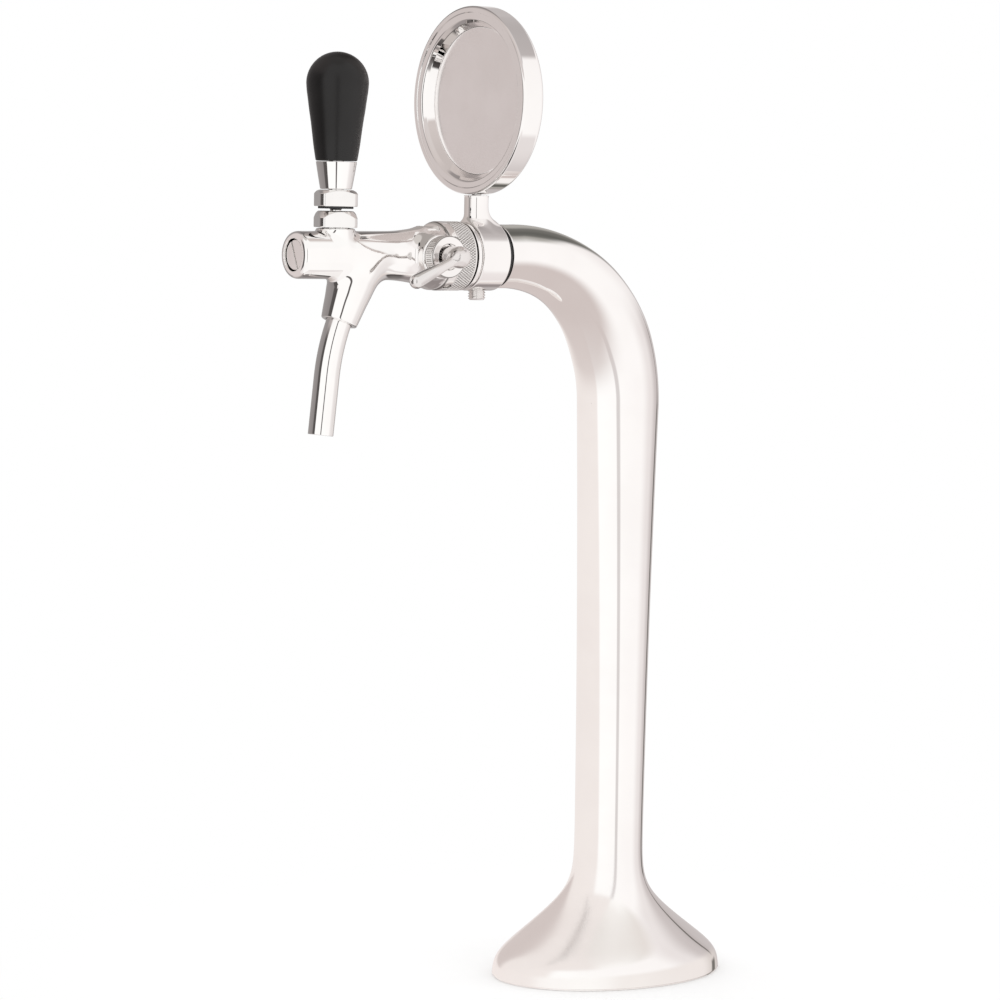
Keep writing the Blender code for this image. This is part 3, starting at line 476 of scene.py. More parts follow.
def dull_skirt(material):
    """The foot of the casting is less finely polished towards -X and -Y."""
    shader, surface, coords = opened(material)
    x, y, z = shader.split(coords)
    side = shader.math("ADD", shader.math("MULTIPLY", x, 0.626), shader.math("MULTIPLY", y, 0.78))
    low = shader.spread(z, 0.045, 0.075, 1.0, 0.0, smooth=True)
    near = shader.spread(side, -0.004, 0.012, 1.0, 0.0, smooth=True)
    extra = shader.math("MULTIPLY", shader.math("MULTIPLY", low, near), 0.16)
    polish = surface.inputs["Roughness"].links[0].from_socket
    shader.fill(surface, {"Roughness": shader.math("ADD", polish, extra)})


MIRROR = dict(light=(0.955, 0.945, 0.935), dark=(0.93, 0.915, 0.905))
chrome = metal("mirror_chrome", **MIRROR, roughness=(0.012, 0.05), wave=0.012)
chrome_cast = metal("cast_column_chrome", **MIRROR, roughness=(0.02, 0.06), wave=0.006)
dull_skirt(chrome_cast)
chrome_hex = metal("nut_face_chrome", light=(0.90, 0.885, 0.875), dark=(0.82, 0.805, 0.79),
                   roughness=(0.06, 0.14), wave=0.02)
lever_chrome = metal("lever_satin_chrome", light=(0.80, 0.775, 0.765),
                     dark=(0.74, 0.715, 0.705), roughness=(0.14, 0.20), wave=0.015)
badge_metal = metal("badge_satin_steel", light=(0.97, 0.955, 0.95), dark=(0.93, 0.91, 0.90),
                    roughness=(0.16, 0.24), brushed=0.02, stretch=(1.0, 1.0, 1.0))
steel = metal("machined_steel", light=(0.62, 0.61, 0.6), dark=(0.5, 0.49, 0.48),
              roughness=(0.18, 0.34), brushed=0.12, stretch=(8.0, 1.0, 8.0), grime=0.25)
zinc = metal("zinc_plated_steel", light=(0.62, 0.62, 0.6), dark=(0.5, 0.5, 0.44),
             roughness=(0.3, 0.46), brushed=0.1, stretch=(1.0, 9.0, 1.0), grime=0.3)
brass = metal("bar_turned_brass", light=(0.80, 0.60, 0.27), dark=(0.68, 0.47, 0.19),
              roughness=(0.18, 0.32), brushed=0.12, stretch=(9.0, 1.0, 9.0), grime=0.3)
rubber = moulded("black_rubber", light=(0.03, 0.03, 0.031), dark=(0.018, 0.018, 0.018),
                 roughness=(0.55, 0.75), scale=150.0, grain=0.35)
foam = moulded("black_foam", light=(0.05, 0.05, 0.052), dark=(0.025, 0.025, 0.026),
               roughness=(0.85, 0.98), scale=300.0, grain=0.9, depth=0.0006)
foam_tape = moulded("white_foam_tape", light=(0.8, 0.8, 0.77), dark=(0.7, 0.7, 0.66),
                    roughness=(0.8, 0.95), scale=300.0, grain=0.5, depth=0.0004)
ptfe = moulded("white_ptfe", light=(0.84, 0.84, 0.82), dark=(0.78, 0.78, 0.74),
               roughness=(0.32, 0.48), scale=100.0, grain=0.1, subsurface=0.1)
acetal = moulded("ivory_acetal", light=(0.78, 0.77, 0.7), dark=(0.7, 0.68, 0.6),
                 roughness=(0.3, 0.46), scale=100.0, grain=0.12, subsurface=0.1)
hose = moulded("clear_beer_hose", light=(0.74, 0.77, 0.78), dark=(0.62, 0.66, 0.66),
               roughness=(0.22, 0.36), scale=60.0, grain=0.08, coat=0.3, subsurface=0.15)
coolant = moulded("blue_coolant_hose", light=(0.30, 0.48, 0.66), dark=(0.22, 0.38, 0.56),
                  roughness=(0.25, 0.4), scale=60.0, grain=0.08, coat=0.3)
knob_black = moulded("satin_black_knob", light=(0.013, 0.012, 0.012),
                     dark=(0.009, 0.008, 0.008), roughness=(0.26, 0.33), scale=160.0,
                     grain=0.05, depth=0.00005, specular=0.34)

# ================================================================ tower column
AROUND = 128  # points in every ring
FLARE_Z, FLARE_LENGTH, FLARE_SOFT = 41.8, 32.0, 5.5  # the swell from the shaft to the foot
FLARE_TOP_SOFT = 0.085
BEND_START, BEND_UP, BEND_OUT, BEND_END = 284.0, 38.4, 46.5, -71.4
ARM_R, ARM_BORE_R, ARM_BORE_END = 15.3, 8.4, -64.5
WALL = 3.0
FOOT_HOLLOW_Z, FOOT_RIM_Z, FOOT_BOTTOM_Z = 8.0, 2.4, 0.3


def softplus(t):
    return np.log1p(np.exp(t))


def flare(z):
    """0 on the shaft, 1 at the foot."""
    rise = FLARE_SOFT / FLARE_LENGTH * softplus((FLARE_Z - z) / FLARE_SOFT)
    return 1 - FLARE_TOP_SOFT * softplus((1 - rise) / FLARE_TOP_SOFT)


def shaft_depth(z):
    # the taper above 60 mm eases in
    eased = 0.5 * (z + 60.0 + sqrt((z - 60.0) ** 2 + 36.0)) - 60.0
    t = (eased + 60.0 - 75.0) / 215.0
    return 17.3 + 1.9 * t + 3.3 * t * t


def shaft_width(z):
    return 16.6 + 0.1 * min(max((z - 75.0) / 215.0, 0.0), 1.0)


def column_halves(z):
    """Flare, half depth and half width of the column at height z."""
    swell = flare(z)
    depth, width = shaft_depth(z), shaft_width(z)
    return swell, depth + swell * (FOOT_DEPTH - depth), width + swell * (FOOT_WIDTH - width)


# half depth and half width along the bend: (0 at its start to 1 at the arm, mm)
BEND_DEPTH = [(0.0, shaft_depth(BEND_START)), (0.25, 22.25), (0.5, 20.0), (0.75, 17.05),
              (1.0, ARM_R)]
BEND_WIDTH = [(0.0, 16.7), (0.5, 16.45), (1.0, ARM_R)]


def section(y, z, along_y, along_z, depth, width):
    """Elliptical ring in the YZ plane's frame, square to the given direction."""
    t = 2 * pi * np.arange(AROUND) / AROUND
    u = depth * np.cos(t)
    return np.stack([width * np.sin(t), y + u * along_z, z - u * along_y], 1)


def level(z, depth, width):
    return section(0, z, 0, 1, depth, width)


def foot(z, inset):
    return level(z, FOOT_DEPTH - inset, FOOT_WIDTH - inset)


def arm_ring(y, radius):
    return section(y, TAP_Z, -1, 0, radius, radius)


def bend_section(u, inset=0.0):
    """Ring on the cubic curve from the shaft to the arm."""
    controls = [(0.0, BEND_START), (0.0, BEND_START + BEND_UP), (BEND_END + BEND_OUT, TAP_Z),
                (BEND_END, TAP_Z)]
    weights = [(1 - u) ** 3, 3 * u * (1 - u) ** 2, 3 * u * u * (1 - u), u ** 3]
    slopes = [(1 - u) ** 2 * 3, 6 * u * (1 - u), 3 * u * u]
    y, z = (sum(w * p[axis] for w, p in zip(weights, controls)) for axis in (0, 1))
    dy, dz = (sum(s * (controls[i + 1][axis] - controls[i][axis]) for i, s in enumerate(slopes))
              for axis in (0, 1))
    length = sqrt(dy * dy + dz * dz)
    return section(y, z, dy / length, dz / length,
                   monotone(BEND_DEPTH, u) - inset, monotone(BEND_WIDTH, u) - inset)


def loft_normals(rings):
    """Outward normals of a lofted skin from its own tangents."""
    rings = np.array(rings)
    along = np.empty_like(rings)
    along[1:-1] = rings[2:] - rings[:-2]
    along[0] = rings[1] - rings[0]
    along[-1] = rings[-1] - rings[-2]
    normals = np.cross(np.roll(rings, -1, axis=1) - np.roll(rings, 1, axis=1), along)
    normals /= np.maximum(np.linalg.norm(normals, axis=2), 1e-9)[:, :, None]
    outward = rings - rings.mean(axis=1, keepdims=True)
    return -normals if (outward * normals).sum() < 0 else normals


def mean_normals(verts, quads):
    """Area-weighted mean of the faces round each vertex."""
    a, b, c, d = (verts[column] for column in quads.T)
    faces = np.cross(c - a, d - b)
    normals = np.zeros_like(verts)
    for corner in range(4):
        for axis in range(3):
            normals[:, axis] += np.bincount(quads[:, corner], faces[:, axis], len(verts))
    return normals


def column_outside():
    """Rings from the foot's lower edge to just behind the arm's end."""
    edge_r = 0.8
    rings = [foot(FOOT_BOTTOM_Z, 0.95), foot(0.32, 0.92)]
    for i in range(1, 7):
        t = radians(90 * i / 6)
        rings.append(foot(FOOT_BOTTOM_Z + edge_r * sin(t), 0.12 + edge_r * cos(t)))
    heights = [*np.arange(1.6, 14.0, 0.4), *np.arange(14.0, 75.0, 0.8),
               *np.arange(75.0, BEND_START, 5.0)]
    rings += [level(z, *column_halves(z)[1:]) for z in heights]
    rings += [bend_section(i / 72) for i in range(73)]
    return rings + [arm_ring(ARM_END_Y + 3.0, ARM_R)]


def arm_edge():
    """Rounded front edge of the arm: rings and their normals."""
    edge_r = 0.5
    rings, normals = [], []
    for i in range(7):
        t = radians(90 * i / 6)
        ring = arm_ring(ARM_END_Y + edge_r - edge_r * sin(t), ARM_R - edge_r + edge_r * cos(t))
        out = ring - np.array([0.0, 0.0, TAP_Z])
        out[:, 1] = 0
        out /= np.linalg.norm(out, axis=1)[:, None]
        rings.append(ring)
        normals.append(out * cos(t) + np.array([0, -1.0, 0]) * sin(t))
    return rings, normals


def column_inside():
    """Rings of the arm's bore, the hollow shaft and the underside of the foot."""
    rings = [arm_ring(ARM_END_Y, 8.6), arm_ring(ARM_END_Y + 0.2, ARM_BORE_R),
             arm_ring(ARM_BORE_END, ARM_BORE_R),
             section(ARM_BORE_END, TAP_Z - 0.3, -1, 0, 12.2, 12.3)]
    rings += [bend_section(0.82 * i / 20, WALL) for i in range(20, -1, -1)]
    for z in (200, 140, 75, 60, 52, 45, 38, 33, 28, 23, 18, 13, FOOT_HOLLOW_Z):
        swell, depth, width = column_halves(z)
        rings.append(level(z, min(depth - WALL - 4 * swell, FOOT_DEPTH - 18),
                           min(width - WALL - 4 * swell, FOOT_WIDTH - 18)))
    return rings + [foot(FOOT_HOLLOW_Z, 9.6), foot(FOOT_RIM_Z, 9.6), foot(FOOT_RIM_Z, 2.6),
                    foot(FOOT_BOTTOM_Z, 2.6)]


def build_column():
    outside = column_outside()
    edge, edge_normals = arm_edge()
    smooth = np.concatenate([*loft_normals(outside), *edge_normals])
    rings = outside + edge + column_inside()
    verts = np.concatenate(rings)
    quads, tris = skin(equal_rows(rings), True)
    outward = quads if signed_volume(verts, quads) > 0 else quads[:, ::-1]
    normals = mean_normals(verts, outward)
    normals[:len(smooth)] = smooth
    add_mesh("column_casting", verts, quads, tris, normals, chrome_cast, "tower", "tower_column")


build_column()

# ================================================================ medallion and collar
RECESS_Y = pad_high[1] + 0.3
MEDAL_AT = (0.0, 0.0, MEDAL_Z)
# radius, Y, fillet: back, rim, sloping inner wall, floor of the recess
turned("medallion_body", [
    (0, MEDAL_BACK - 0.6, 0), (30.0, MEDAL_BACK - 0.35, 30.0), (MEDAL_R, MEDAL_BACK, 2.8),
    (MEDAL_R, MEDAL_FRONT, 2.7), (41.9, MEDAL_FRONT, 0.35), (41.5, MEDAL_FRONT + 0.5, 0.35),
    (38.7, MEDAL_FRONT + 0.6, 2.0), (37.0, MEDAL_FRONT + 2.7, 0.8), (35.2, RECESS_Y - 2.2, 0.3),
    (35.1, RECESS_Y - 1.7, 0.1), (35.1, RECESS_Y, 0.1), (0, RECESS_Y, 0),
], 192, chrome, "tower", "medallion_housing", step=8.0, origin=MEDAL_AT)


def disc(name, radius, low, high, front_fillet, segments, material, replaced):
    turned(name, [(0, high[1], 0), (radius, high[1], 0.1), (radius, low[1], front_fillet),
                  (0, low[1], 0)], segments, material, "tower", replaced, origin=MEDAL_AT)


disc("medallion_plate", 35.0, plate_low, plate_high, 0.2, 160, badge_metal, "badge_plate")
disc("medallion_pad", 32.0, pad_low, pad_high, 0.1, 96, foam_tape, "badge_pad")

STEM_Y = -89.6
SCREW_SHIFT = 1.2  # the set screw lies this far behind the stem
COLLAR_FRONT, COLLAR_BACK = -96.3, -80.2
COLLAR_R, COLLAR_BORE_R, COLLAR_TOP = 16.5, 8.3, 29.05


def collar(x, y, z):
    """Ring round the arm with a stem rising to the medallion."""
    r = np.hypot(x, z)
    stem_r = 5.8 + 0.2 * np.clip((z - 27.4) / 1.6, 0, 1) ** 2
    from_stem = np.hypot(x, y - STEM_Y)
    stem = np.maximum(from_stem - stem_r, 8.0 - z)
    solid = join(r - COLLAR_R, stem, 6.2 + 2.2 * np.tanh((y - STEM_Y) / 4.0))
    solid = trim(solid, slab(y, COLLAR_FRONT, COLLAR_BACK), 0.9)
    solid = trim(solid, z - COLLAR_TOP, 0.25)
    solid = trim(solid, COLLAR_BORE_R - r, 0.35)
    solid = drill(solid, np.maximum(from_stem - 2.6, 21.0 - z), 0.2)
    screw_hole = np.maximum(np.hypot(x, y - STEM_Y - SCREW_SHIFT) - 4.55, z + 8.0)
    return drill(solid, screw_hole, 0.4)


implicit("collar_ring", collar, (-17, COLLAR_FRONT - 0.3, -17), (17, COLLAR_BACK + 0.3, 29.4),
         0.42, chrome, "tower", "medallion_collar", at=(0, 0, TAP_Z))

SCREW_TOP, SCREW_BOTTOM = 8.1, -21.0  # the top is this far below the axis
SCREW_CORE_R, THREAD_DEPTH, THREAD_PITCH = 3.55, 0.65, 1.25


def set_screw(x, y, z):
    """Threaded screw with a hexagonal socket in its lower end."""
    r = np.hypot(x, y)
    tooth = np.clip((zigzag(z / THREAD_PITCH - np.arctan2(y, x) / (2 * pi)) - 0.14) / 0.72, 0, 1)
    solid = (r - (SCREW_CORE_R + THREAD_DEPTH * tooth)) * 0.75
    solid = trim(solid, SCREW_BOTTOM - z, 0.3)
    solid = trim(solid, (r - 3.4 + (SCREW_BOTTOM - z)) * 0.707, 0.3)
    solid = trim(solid, z + SCREW_TOP, 0.3)
    solid = trim(solid, (r - 3.3 + (z + SCREW_TOP)) * 0.707, 0.3)
    slants = np.maximum(np.abs(0.5 * x + 0.866 * y), np.abs(0.5 * x - 0.866 * y))
    socket = np.maximum(np.abs(x), slants) - 1.95
    return drill(solid, np.maximum(socket, z + 17.2), 0.15)


implicit("set_screw", set_screw, (-4.3, -4.3, -21.2), (4.3, 4.3, -8), 0.19, chrome_hex, "tower",
         "collar_set_screw", at=(0, STEM_Y + SCREW_SHIFT, TAP_Z))

# ================================================================ arm seal, shank, coupling nut
turned("arm_seal", [(8.15, -79.9, 0.2), (14.8, -79.9, 0.3), (14.8, -77.9, 0.3),
                    (8.15, -77.9, 0.2)], 96, rubber, "tower", "arm_gasket")
# radius, Y, fillet: barbed tail, stem, two flanges, nose, bore
turned("shank_stem", [
    (2.2, -50.8, 0.1), (2.8, -50.8, 0.1), (3.2, -52.2, 0.05), (2.8, -53.2, 0.05),
    (3.2, -54.8, 0.05), (2.8, -55.8, 0.05), (2.8, -57.6, 0.1), (7.8, -57.6, 0.4),
    (7.8, -96.6, 0.1), (14.7, -96.6, 0.1), (14.7, -97.3, 0.1), (16.35, -97.3, 0.4),
    (16.35, -99.3, 0.4), (11.1, -99.3, 0.1), (11.1, -106.0, 0.4), (4.0, -106.0, 0.3),
    (4.0, -62.0, 0.5), (2.2, -60.0, 0.5),
], 128, chrome, "tower", "shank")

NUT_R, NUT_FRONT, NUT_BACK = 16.5, -115.8, -100.2
NUT_KNURLS, NUT_KNURL_DEPTH, NUT_KNURL_RUN = 78, 0.30, 2.1


def union_nut(x, y, z):
    """Diamond-knurled nut with a groove, a stepped bore and four radial holes."""
    r = np.hypot(x, z)
    angle = np.arctan2(z, x)
    turns = NUT_KNURLS * angle / (2 * pi)
    rise = y / NUT_KNURL_RUN
    diamond = np.minimum(np.minimum(zigzag(turns + rise), zigzag(turns - rise)) * 1.5, 1.0)
    zone = np.clip((y + 109.9) / 0.3, 0, 1) * np.clip((NUT_BACK - 0.8 - y) / 0.3, 0, 1)
    groove = 0.2 * np.clip(1 - np.abs(y + 110.15) / 0.28, 0, 1)
    solid = (r - (NUT_R - NUT_KNURL_DEPTH * (1 - diamond) * zone) + groove) * 0.88
    solid = trim(solid, NUT_FRONT - y, 2.6)
    solid = trim(solid, y - NUT_BACK, 0.8)
    solid = trim(solid, np.where(y > -110.7, 11.5, 9.9) - r, 0.3)
    for i in range(4):
        a = radians(-118 + 90 * i)
        along = x * sin(a) + z * cos(a)
        off = np.sqrt(np.maximum(x * x + z * z - along * along, 0) + (y + 111.7) ** 2)
        solid = drill(solid, np.maximum(off - 2.0, 13.8 - along), 0.35)
    return solid


nut_knurl = knurled("knurled_nut_chrome", axis=1, centre=(0.0, TAP_Z), radius=NUT_R,
                    depth=NUT_KNURL_DEPTH)
implicit("union_nut", union_nut, (-17, NUT_FRONT, -17), (17, NUT_BACK, 17), 0.22, nut_knurl,
         "tower", "coupling_nut", relax=1, at=(0, 0, TAP_Z))

# ================================================================ tap body
# barrel radius: (Y, radius)
barrel_r = lookup([
    (-194.8, 11.05), (-181, 11.15), (-161, 11.3), (-142.1, 11.5), (-137.1, 11.75),
    (-132.1, 12.25), (-127.6, 12.9), (-123.1, 14.1), (-119.7, 15.35), (-117.5, 16.15),
    (-116.1, 16.3)])
# radius of the branch down to the spout: (distance from the tap's axis, radius)
branch_r = lookup([(0, 10.4), (2, 10.6), (8, 11.5), (13, 11.4), (18, 10.8), (23, 10.0),
                   (28.5, 9.3), (32, 8.8), (33.5, 8.6), (36, 8.4)])
BRANCH_Y, BRANCH_TILT, BRANCH_END = -156.8, 20.3, 33.5
BRANCH_COS, BRANCH_SIN = cos(radians(BRANCH_TILT)), sin(radians(BRANCH_TILT))
TAP_BACK = -116.1


def tap(x, y, z):
    r = np.hypot(x, z)
    barrel = (r - barrel_r(y)) * 0.97
    barrel = trim(barrel, TAP_FRONT - y, 3.2)
    barrel = trim(barrel, y - TAP_BACK, 0.5)
    # neck, up to the handle
    neck_off = np.hypot(x, y - HANDLE_Y)
    neck = trim(trim(neck_off - (9.3 - 0.02 * z), z - 12.5, 0.9), -z, 0.5)
    solid = join(barrel, neck, 2.6)
    # branch, down to the spout
    down = -(y - BRANCH_Y) * BRANCH_SIN - z * BRANCH_COS
    across = (y - BRANCH_Y) * BRANCH_COS - z * BRANCH_SIN
    branch_off = np.hypot(x, across)
    branch = trim((branch_off - branch_r(down)) * 0.97, down - BRANCH_END, 0.7)
    branch = np.maximum(branch, -down)
    solid = join(solid, branch, 5.4 + 1.8 * np.tanh(across / 5.0))
    # boss, out to the flow lever
    boss_off = np.hypot(y - FLOW_Y, z)
    boss = np.maximum(trim(boss_off - 10.6, x - 17.2, 1.5), -x)
    boss = trim(boss, y + 116.5, 0.5)
    solid = np.maximum(join(solid, boss, 3.2), y - TAP_BACK)
    # spigot and its flange, in the coupling nut
    spigot = np.minimum(np.maximum(r - 9.5, slab(y, -117.1, -109.1)),
                        trim(r - 11.2, slab(y, -110.3, -108.2), 0.3))
    solid = np.minimum(solid, spigot)
    # bores
    cone = 4.9 + (8.3 - 4.9) * np.clip((y + 144.1) / 16.0, 0, 1)
    main_bore = np.where(y < -184.8, 7.6, np.where(y < -148.1, 5.5, cone))
    solid = trim(solid, main_bore - r, 0.35)
    neck_bore = neck_off - np.where(z < 6.3, 3.7, 6.6)
    solid = drill(solid, np.maximum(neck_bore, 2.5 - z), 0.35)
    branch_bore = branch_off - np.where(down < 23.5, 4.6, 6.4)
    solid = drill(solid, np.maximum(branch_bore, 3.0 - down), 0.35)
    boss_bore = boss_off - np.where(x < 11.0, 3.4, 6.7)
    return drill(solid, np.maximum(boss_bore, 6.0 - x), 0.35)


implicit("tap_casting", tap, (-17, TAP_FRONT, -35), (18, -108, 13), 0.46, chrome, "tower",
         "tap_body", relax=3, at=(0, 0, TAP_Z))

SLOT_ANGLE = radians(-23.0)


def end_plug(x, y, z):
    """Plug with a ring groove, a slot across its front and a hollow back."""
    r = np.hypot(x, z)
    solid = trim(trim(r - 7.1, -193.8 - y, 0.9), y + 185.2, 0.4)
    solid = drill(solid, np.maximum(6.0 - r, slab(y, -190.0, -188.2)), 0.2)
    across = x * cos(SLOT_ANGLE) - z * sin(SLOT_ANGLE)
    solid = drill(solid, np.maximum(np.abs(across) - 0.5, y + 192.7), 0.15)
    return drill(solid, np.maximum(r - 3.3, -191.5 - y), 0.2)


implicit("end_plug", end_plug, (-7.3, -194.0, -7.3), (7.3, -185.0, 7.3), 0.22, chrome_hex,
         "tower", "front_plug", at=(0, 0, TAP_Z))

# ================================================================ square nuts under the handle
HANDLE_AT = (0, HANDLE_Y, TAP_Z)
SQUARE_TURN = radians(-22.4)
SQUARE_FLATS, SQUARE_CORNER_R, SQUARE_BEVEL_R = 18.0, 11.5, 11.2
BONNET_BOTTOM, BONNET_TOP = 12.9, 20.6
LOCK_BOTTOM, LOCK_TOP = 22.7, 30.4


def square_nut(x, y, z, bottom, top, top_bevel):
    u = x * cos(SQUARE_TURN) + y * sin(SQUARE_TURN)
    v = -x * sin(SQUARE_TURN) + y * cos(SQUARE_TURN)
    r = np.hypot(x, y)
    sides = trim(np.abs(u) - SQUARE_FLATS / 2, np.abs(v) - SQUARE_FLATS / 2, 0.3)
    solid = trim(trim(sides, r - SQUARE_CORNER_R, 0.35), slab(z, bottom, top), 0.35)
    solid = trim(solid, top_bevel, 0.3)
    return trim(solid, ((r - SQUARE_BEVEL_R) - (z - bottom)) * 0.707, 0.3)


def bonnet(x, y, z):
    """Nut over the handle's ball, with a spigot below and a flared mouth."""
    r = np.hypot(x, y)
    solid = square_nut(x, y, z, BONNET_BOTTOM, BONNET_TOP, ((r - 8.5) + (z - 20.4)) * 0.707)
    solid = np.minimum(solid, trim(r - 6.15, slab(z, 11.2, 14.0), 0.2))
    ball = np.where(z < 15.9, np.sqrt(r * r + (z - PIVOT) ** 2) - 5.85, 1e3)
    mouth = np.maximum((r - (4.45 + (z - 16.1) * 0.344)) * 0.94, 15.4 - z)
    bevel = np.maximum(((r - 6.75) - (z - BONNET_TOP)) * 0.707, 18.0 - z)
    return drill(solid, np.minimum(np.minimum(ball, mouth), bevel), 0.3)


def jam_nut(x, y, z):
    """Nut with a ring groove in its underside and a plain bore."""
    r = np.hypot(x, y)
    bevel = (r - 7.9) * 0.447 + (z - LOCK_TOP) * 0.894
    solid = square_nut(x, y, z, LOCK_BOTTOM, LOCK_TOP, bevel)
    solid = drill(solid, np.maximum(np.maximum(6.9 - r, r - 8.55), z - 23.6), 0.2)
    return trim(solid, 3.9 - r, 0.35)


implicit("bonnet", bonnet, (-11.8, -11.8, 11), (11.8, 11.8, 21), 0.26, chrome_hex, "tower",
         "bonnet_nut", at=HANDLE_AT)
implicit("jam_nut", jam_nut, (-11.8, -11.8, 22.5), (11.8, 11.8, 30.6), 0.26, chrome_hex,
         "handle", "lock_nut", at=HANDLE_AT)

# ================================================================ handle
UPRIGHT = dict(origin=HANDLE_AT, axis=2)
BALL_R = 5.5
SEAL_DOME_R = 12.55
ball = [(sqrt(max(BALL_R ** 2 - (z - PIVOT) ** 2, 0.0)), z, 0.0)
        for z in np.linspace(6.9, 17.0, 26)]
# radius, height, fillet: the end inside the tap, the ball, then the rod
turned("lever_rod", [
    (0, -2.2, 0), (1.5, -1.6, 0.4), (2.2, 0.0, 0.8), (1.9, 1.1, 0.4), (1.5, 2.2, 0.4),
    (1.5, 6.4, 0.2), *ball, (2.6, 17.3, 0.3), (2.6, 21.2, 0.5), (3.5, 22.3, 0.3),
    (3.5, 60.0, 0.2), (2.9, 60.6, 0.2), (0, 60.6, 0),
], 72, chrome_hex, "handle", "handle_lever", **UPRIGHT)
seal_dome = [(r, PIVOT + sqrt(SEAL_DOME_R ** 2 - r * r), 0.15) for r in (7.15, 7.6, 8.1)]
turned("dust_seal", seal_dome + [(8.3, 21.8, 0.15), (8.3, 23.4, 0.2), (7.15, 23.4, 0.2)],
       96, rubber, "handle", "dust_ring", **UPRIGHT)
turned("ferrule", [(3.9, 30.7, 0.3), (7.4, 30.7, 0.5), (8.53, 37.0, 12.0), (9.45, 42.5, 4.0),
                   (9.55, 43.5, 0.3), (3.9, 43.5, 0.3)],
       128, chrome, "handle", "handle_ferrule", step=6, **UPRIGHT)

KNOB_TOP_R, KNOB_TOP_Z = 14.6, 79.8  # the hemisphere on the grip
KNOB_EDGE_R, KNOB_EDGE_Z = 0.7, 44.5
# grip radius: (height, radius)
knob_r = lookup([(43.8, 9.7), (45.3, 9.95), (50.8, 10.83), (56.4, 11.53), (61.9, 12.25),
                 (67.4, 13.1), (73.0, 13.85), (76.5, 14.35), (KNOB_TOP_Z, KNOB_TOP_R)])


def build_grip():
    # radius, height, normal outward, normal up; first the blind hole and the bottom
    rows = [(0.0, 66.0, 0, -1), (4.95, 66.0, -0.7, -0.7), (4.95, 44.1, -1, 0),
            (5.25, 43.8, -0.7, -0.7), (9.1, 43.8, 0, -1)]
    for a in np.radians(np.linspace(0, 90, 7)[1:-1]):
        rows.append((9.1 + KNOB_EDGE_R * sin(a), KNOB_EDGE_Z - KNOB_EDGE_R * cos(a),
                     sin(a), -cos(a)))
    for z in np.linspace(KNOB_EDGE_Z, KNOB_TOP_Z, 60):
        slope = float(knob_r(z + 0.2) - knob_r(z - 0.2)) / 0.4 if z < 79.4 else 0.0
        rows.append((float(knob_r(z)), z, 1.0, -slope))
    for a in np.linspace(0, 90, 30)[1:]:
        c, s = cos(radians(a)), sin(radians(a))
        rows.append((KNOB_TOP_R * c if a < 90 else 0.0, KNOB_TOP_Z + KNOB_TOP_R * s, c, s))
    rows = np.array(rows, float)
    spun("grip", rows[:, :2], rows[:, 2:], 128, knob_black, "handle", "handle_knob", **UPRIGHT)


build_grip()

# ================================================================ flow control
FLOW_AT = (0, FLOW_Y, TAP_Z)
GLAND_R, GLAND_KNURLS = 10.0, 66


def gland(x, y, z):
    """Straight-knurled nut with a recessed outer face and a spigot in the tap."""
    r = np.hypot(y, z)
    angle = np.arctan2(z, y)
    knurl = 1 - np.minimum(zigzag(GLAND_KNURLS * angle / (2 * pi)) * 1.5, 1.0)
    zone = np.clip((x - 18.3) / 0.3, 0, 1) * np.clip((22.7 - x) / 0.3, 0, 1)
    solid = (r - GLAND_R + 0.3 * knurl * zone) * 0.9
    solid = trim(solid, slab(x, 17.5, 23.6), 0.9)
    solid = drill(solid, np.maximum(r - 6.1, 20.0 - x), 0.5)
    solid = np.minimum(solid, trim(r - 6.3, slab(x, 13.4, 18.5), 0.3))
    return trim(solid, 3.3 - r, 0.2)


gland_knurl = knurled("knurled_gland_chrome", axis=0, centre=(FLOW_Y, TAP_Z), radius=GLAND_R,
                      depth=0.28)
implicit("knurled_gland", gland, (13.2, -10.2, -10.2), (23.8, 10.2, 10.2), 0.24, gland_knurl,
         "tower", "gland_nut", relax=1, at=FLOW_AT)

LEVER_DIP = radians(24.6)
LEVER_HUB_R, LEVER_TIP, LEVER_TIP_R = 5.2, 27.05, 3.45
# lever radius: (distance from the hub's axis, radius)
lever_r = lookup([(0, 3.1), (3.4, 2.9), (6.5, 2.4), (9.0, 2.3), (13.0, 2.55), (18.0, 2.95),
                  (23.0, 3.3), (27.0, LEVER_TIP_R), (31, LEVER_TIP_R)])


def side_lever(x, y, z):
    """Round-ended hub with an arm that dips towards -Y."""
    r = np.hypot(y, z)
    hub = np.sqrt(np.maximum(x - LEVER_X, 0) ** 2 + r * r) - LEVER_HUB_R
    hub = trim(hub, 20.3 - x, 0.5)
    along = y * -cos(LEVER_DIP) + z * -sin(LEVER_DIP)
    off = np.sqrt((x - LEVER_X) ** 2 + np.maximum(r * r - along * along, 0))
    tip = np.sqrt(off * off + np.maximum(along - LEVER_TIP, 0) ** 2) - LEVER_TIP_R
    arm = np.where(along > LEVER_TIP, tip, (off - lever_r(along)) * 0.97)
    arm = np.maximum(arm, 0.5 - along)
    return drill(join(hub, arm, 1.4), np.maximum(r - 3.25, x - 31.5), 0.3)


implicit("side_lever", side_lever, (20.2, -30.0, -17), (37.1, 5.3, 5.3), 0.27, lever_chrome,
         "flow_control", "flow_lever", at=FLOW_AT)

# ================================================================ spout
SPOUT_TILT, SPOUT_END = 6.2, 84.0  # the end's height is below the tap's axis
SPOUT_R, SPOUT_BORE_R, SPOUT_EDGE_R = 6.0, 5.0, 0.3
SPOUT_BENDS, SPOUT_STEP = 48, 0.5


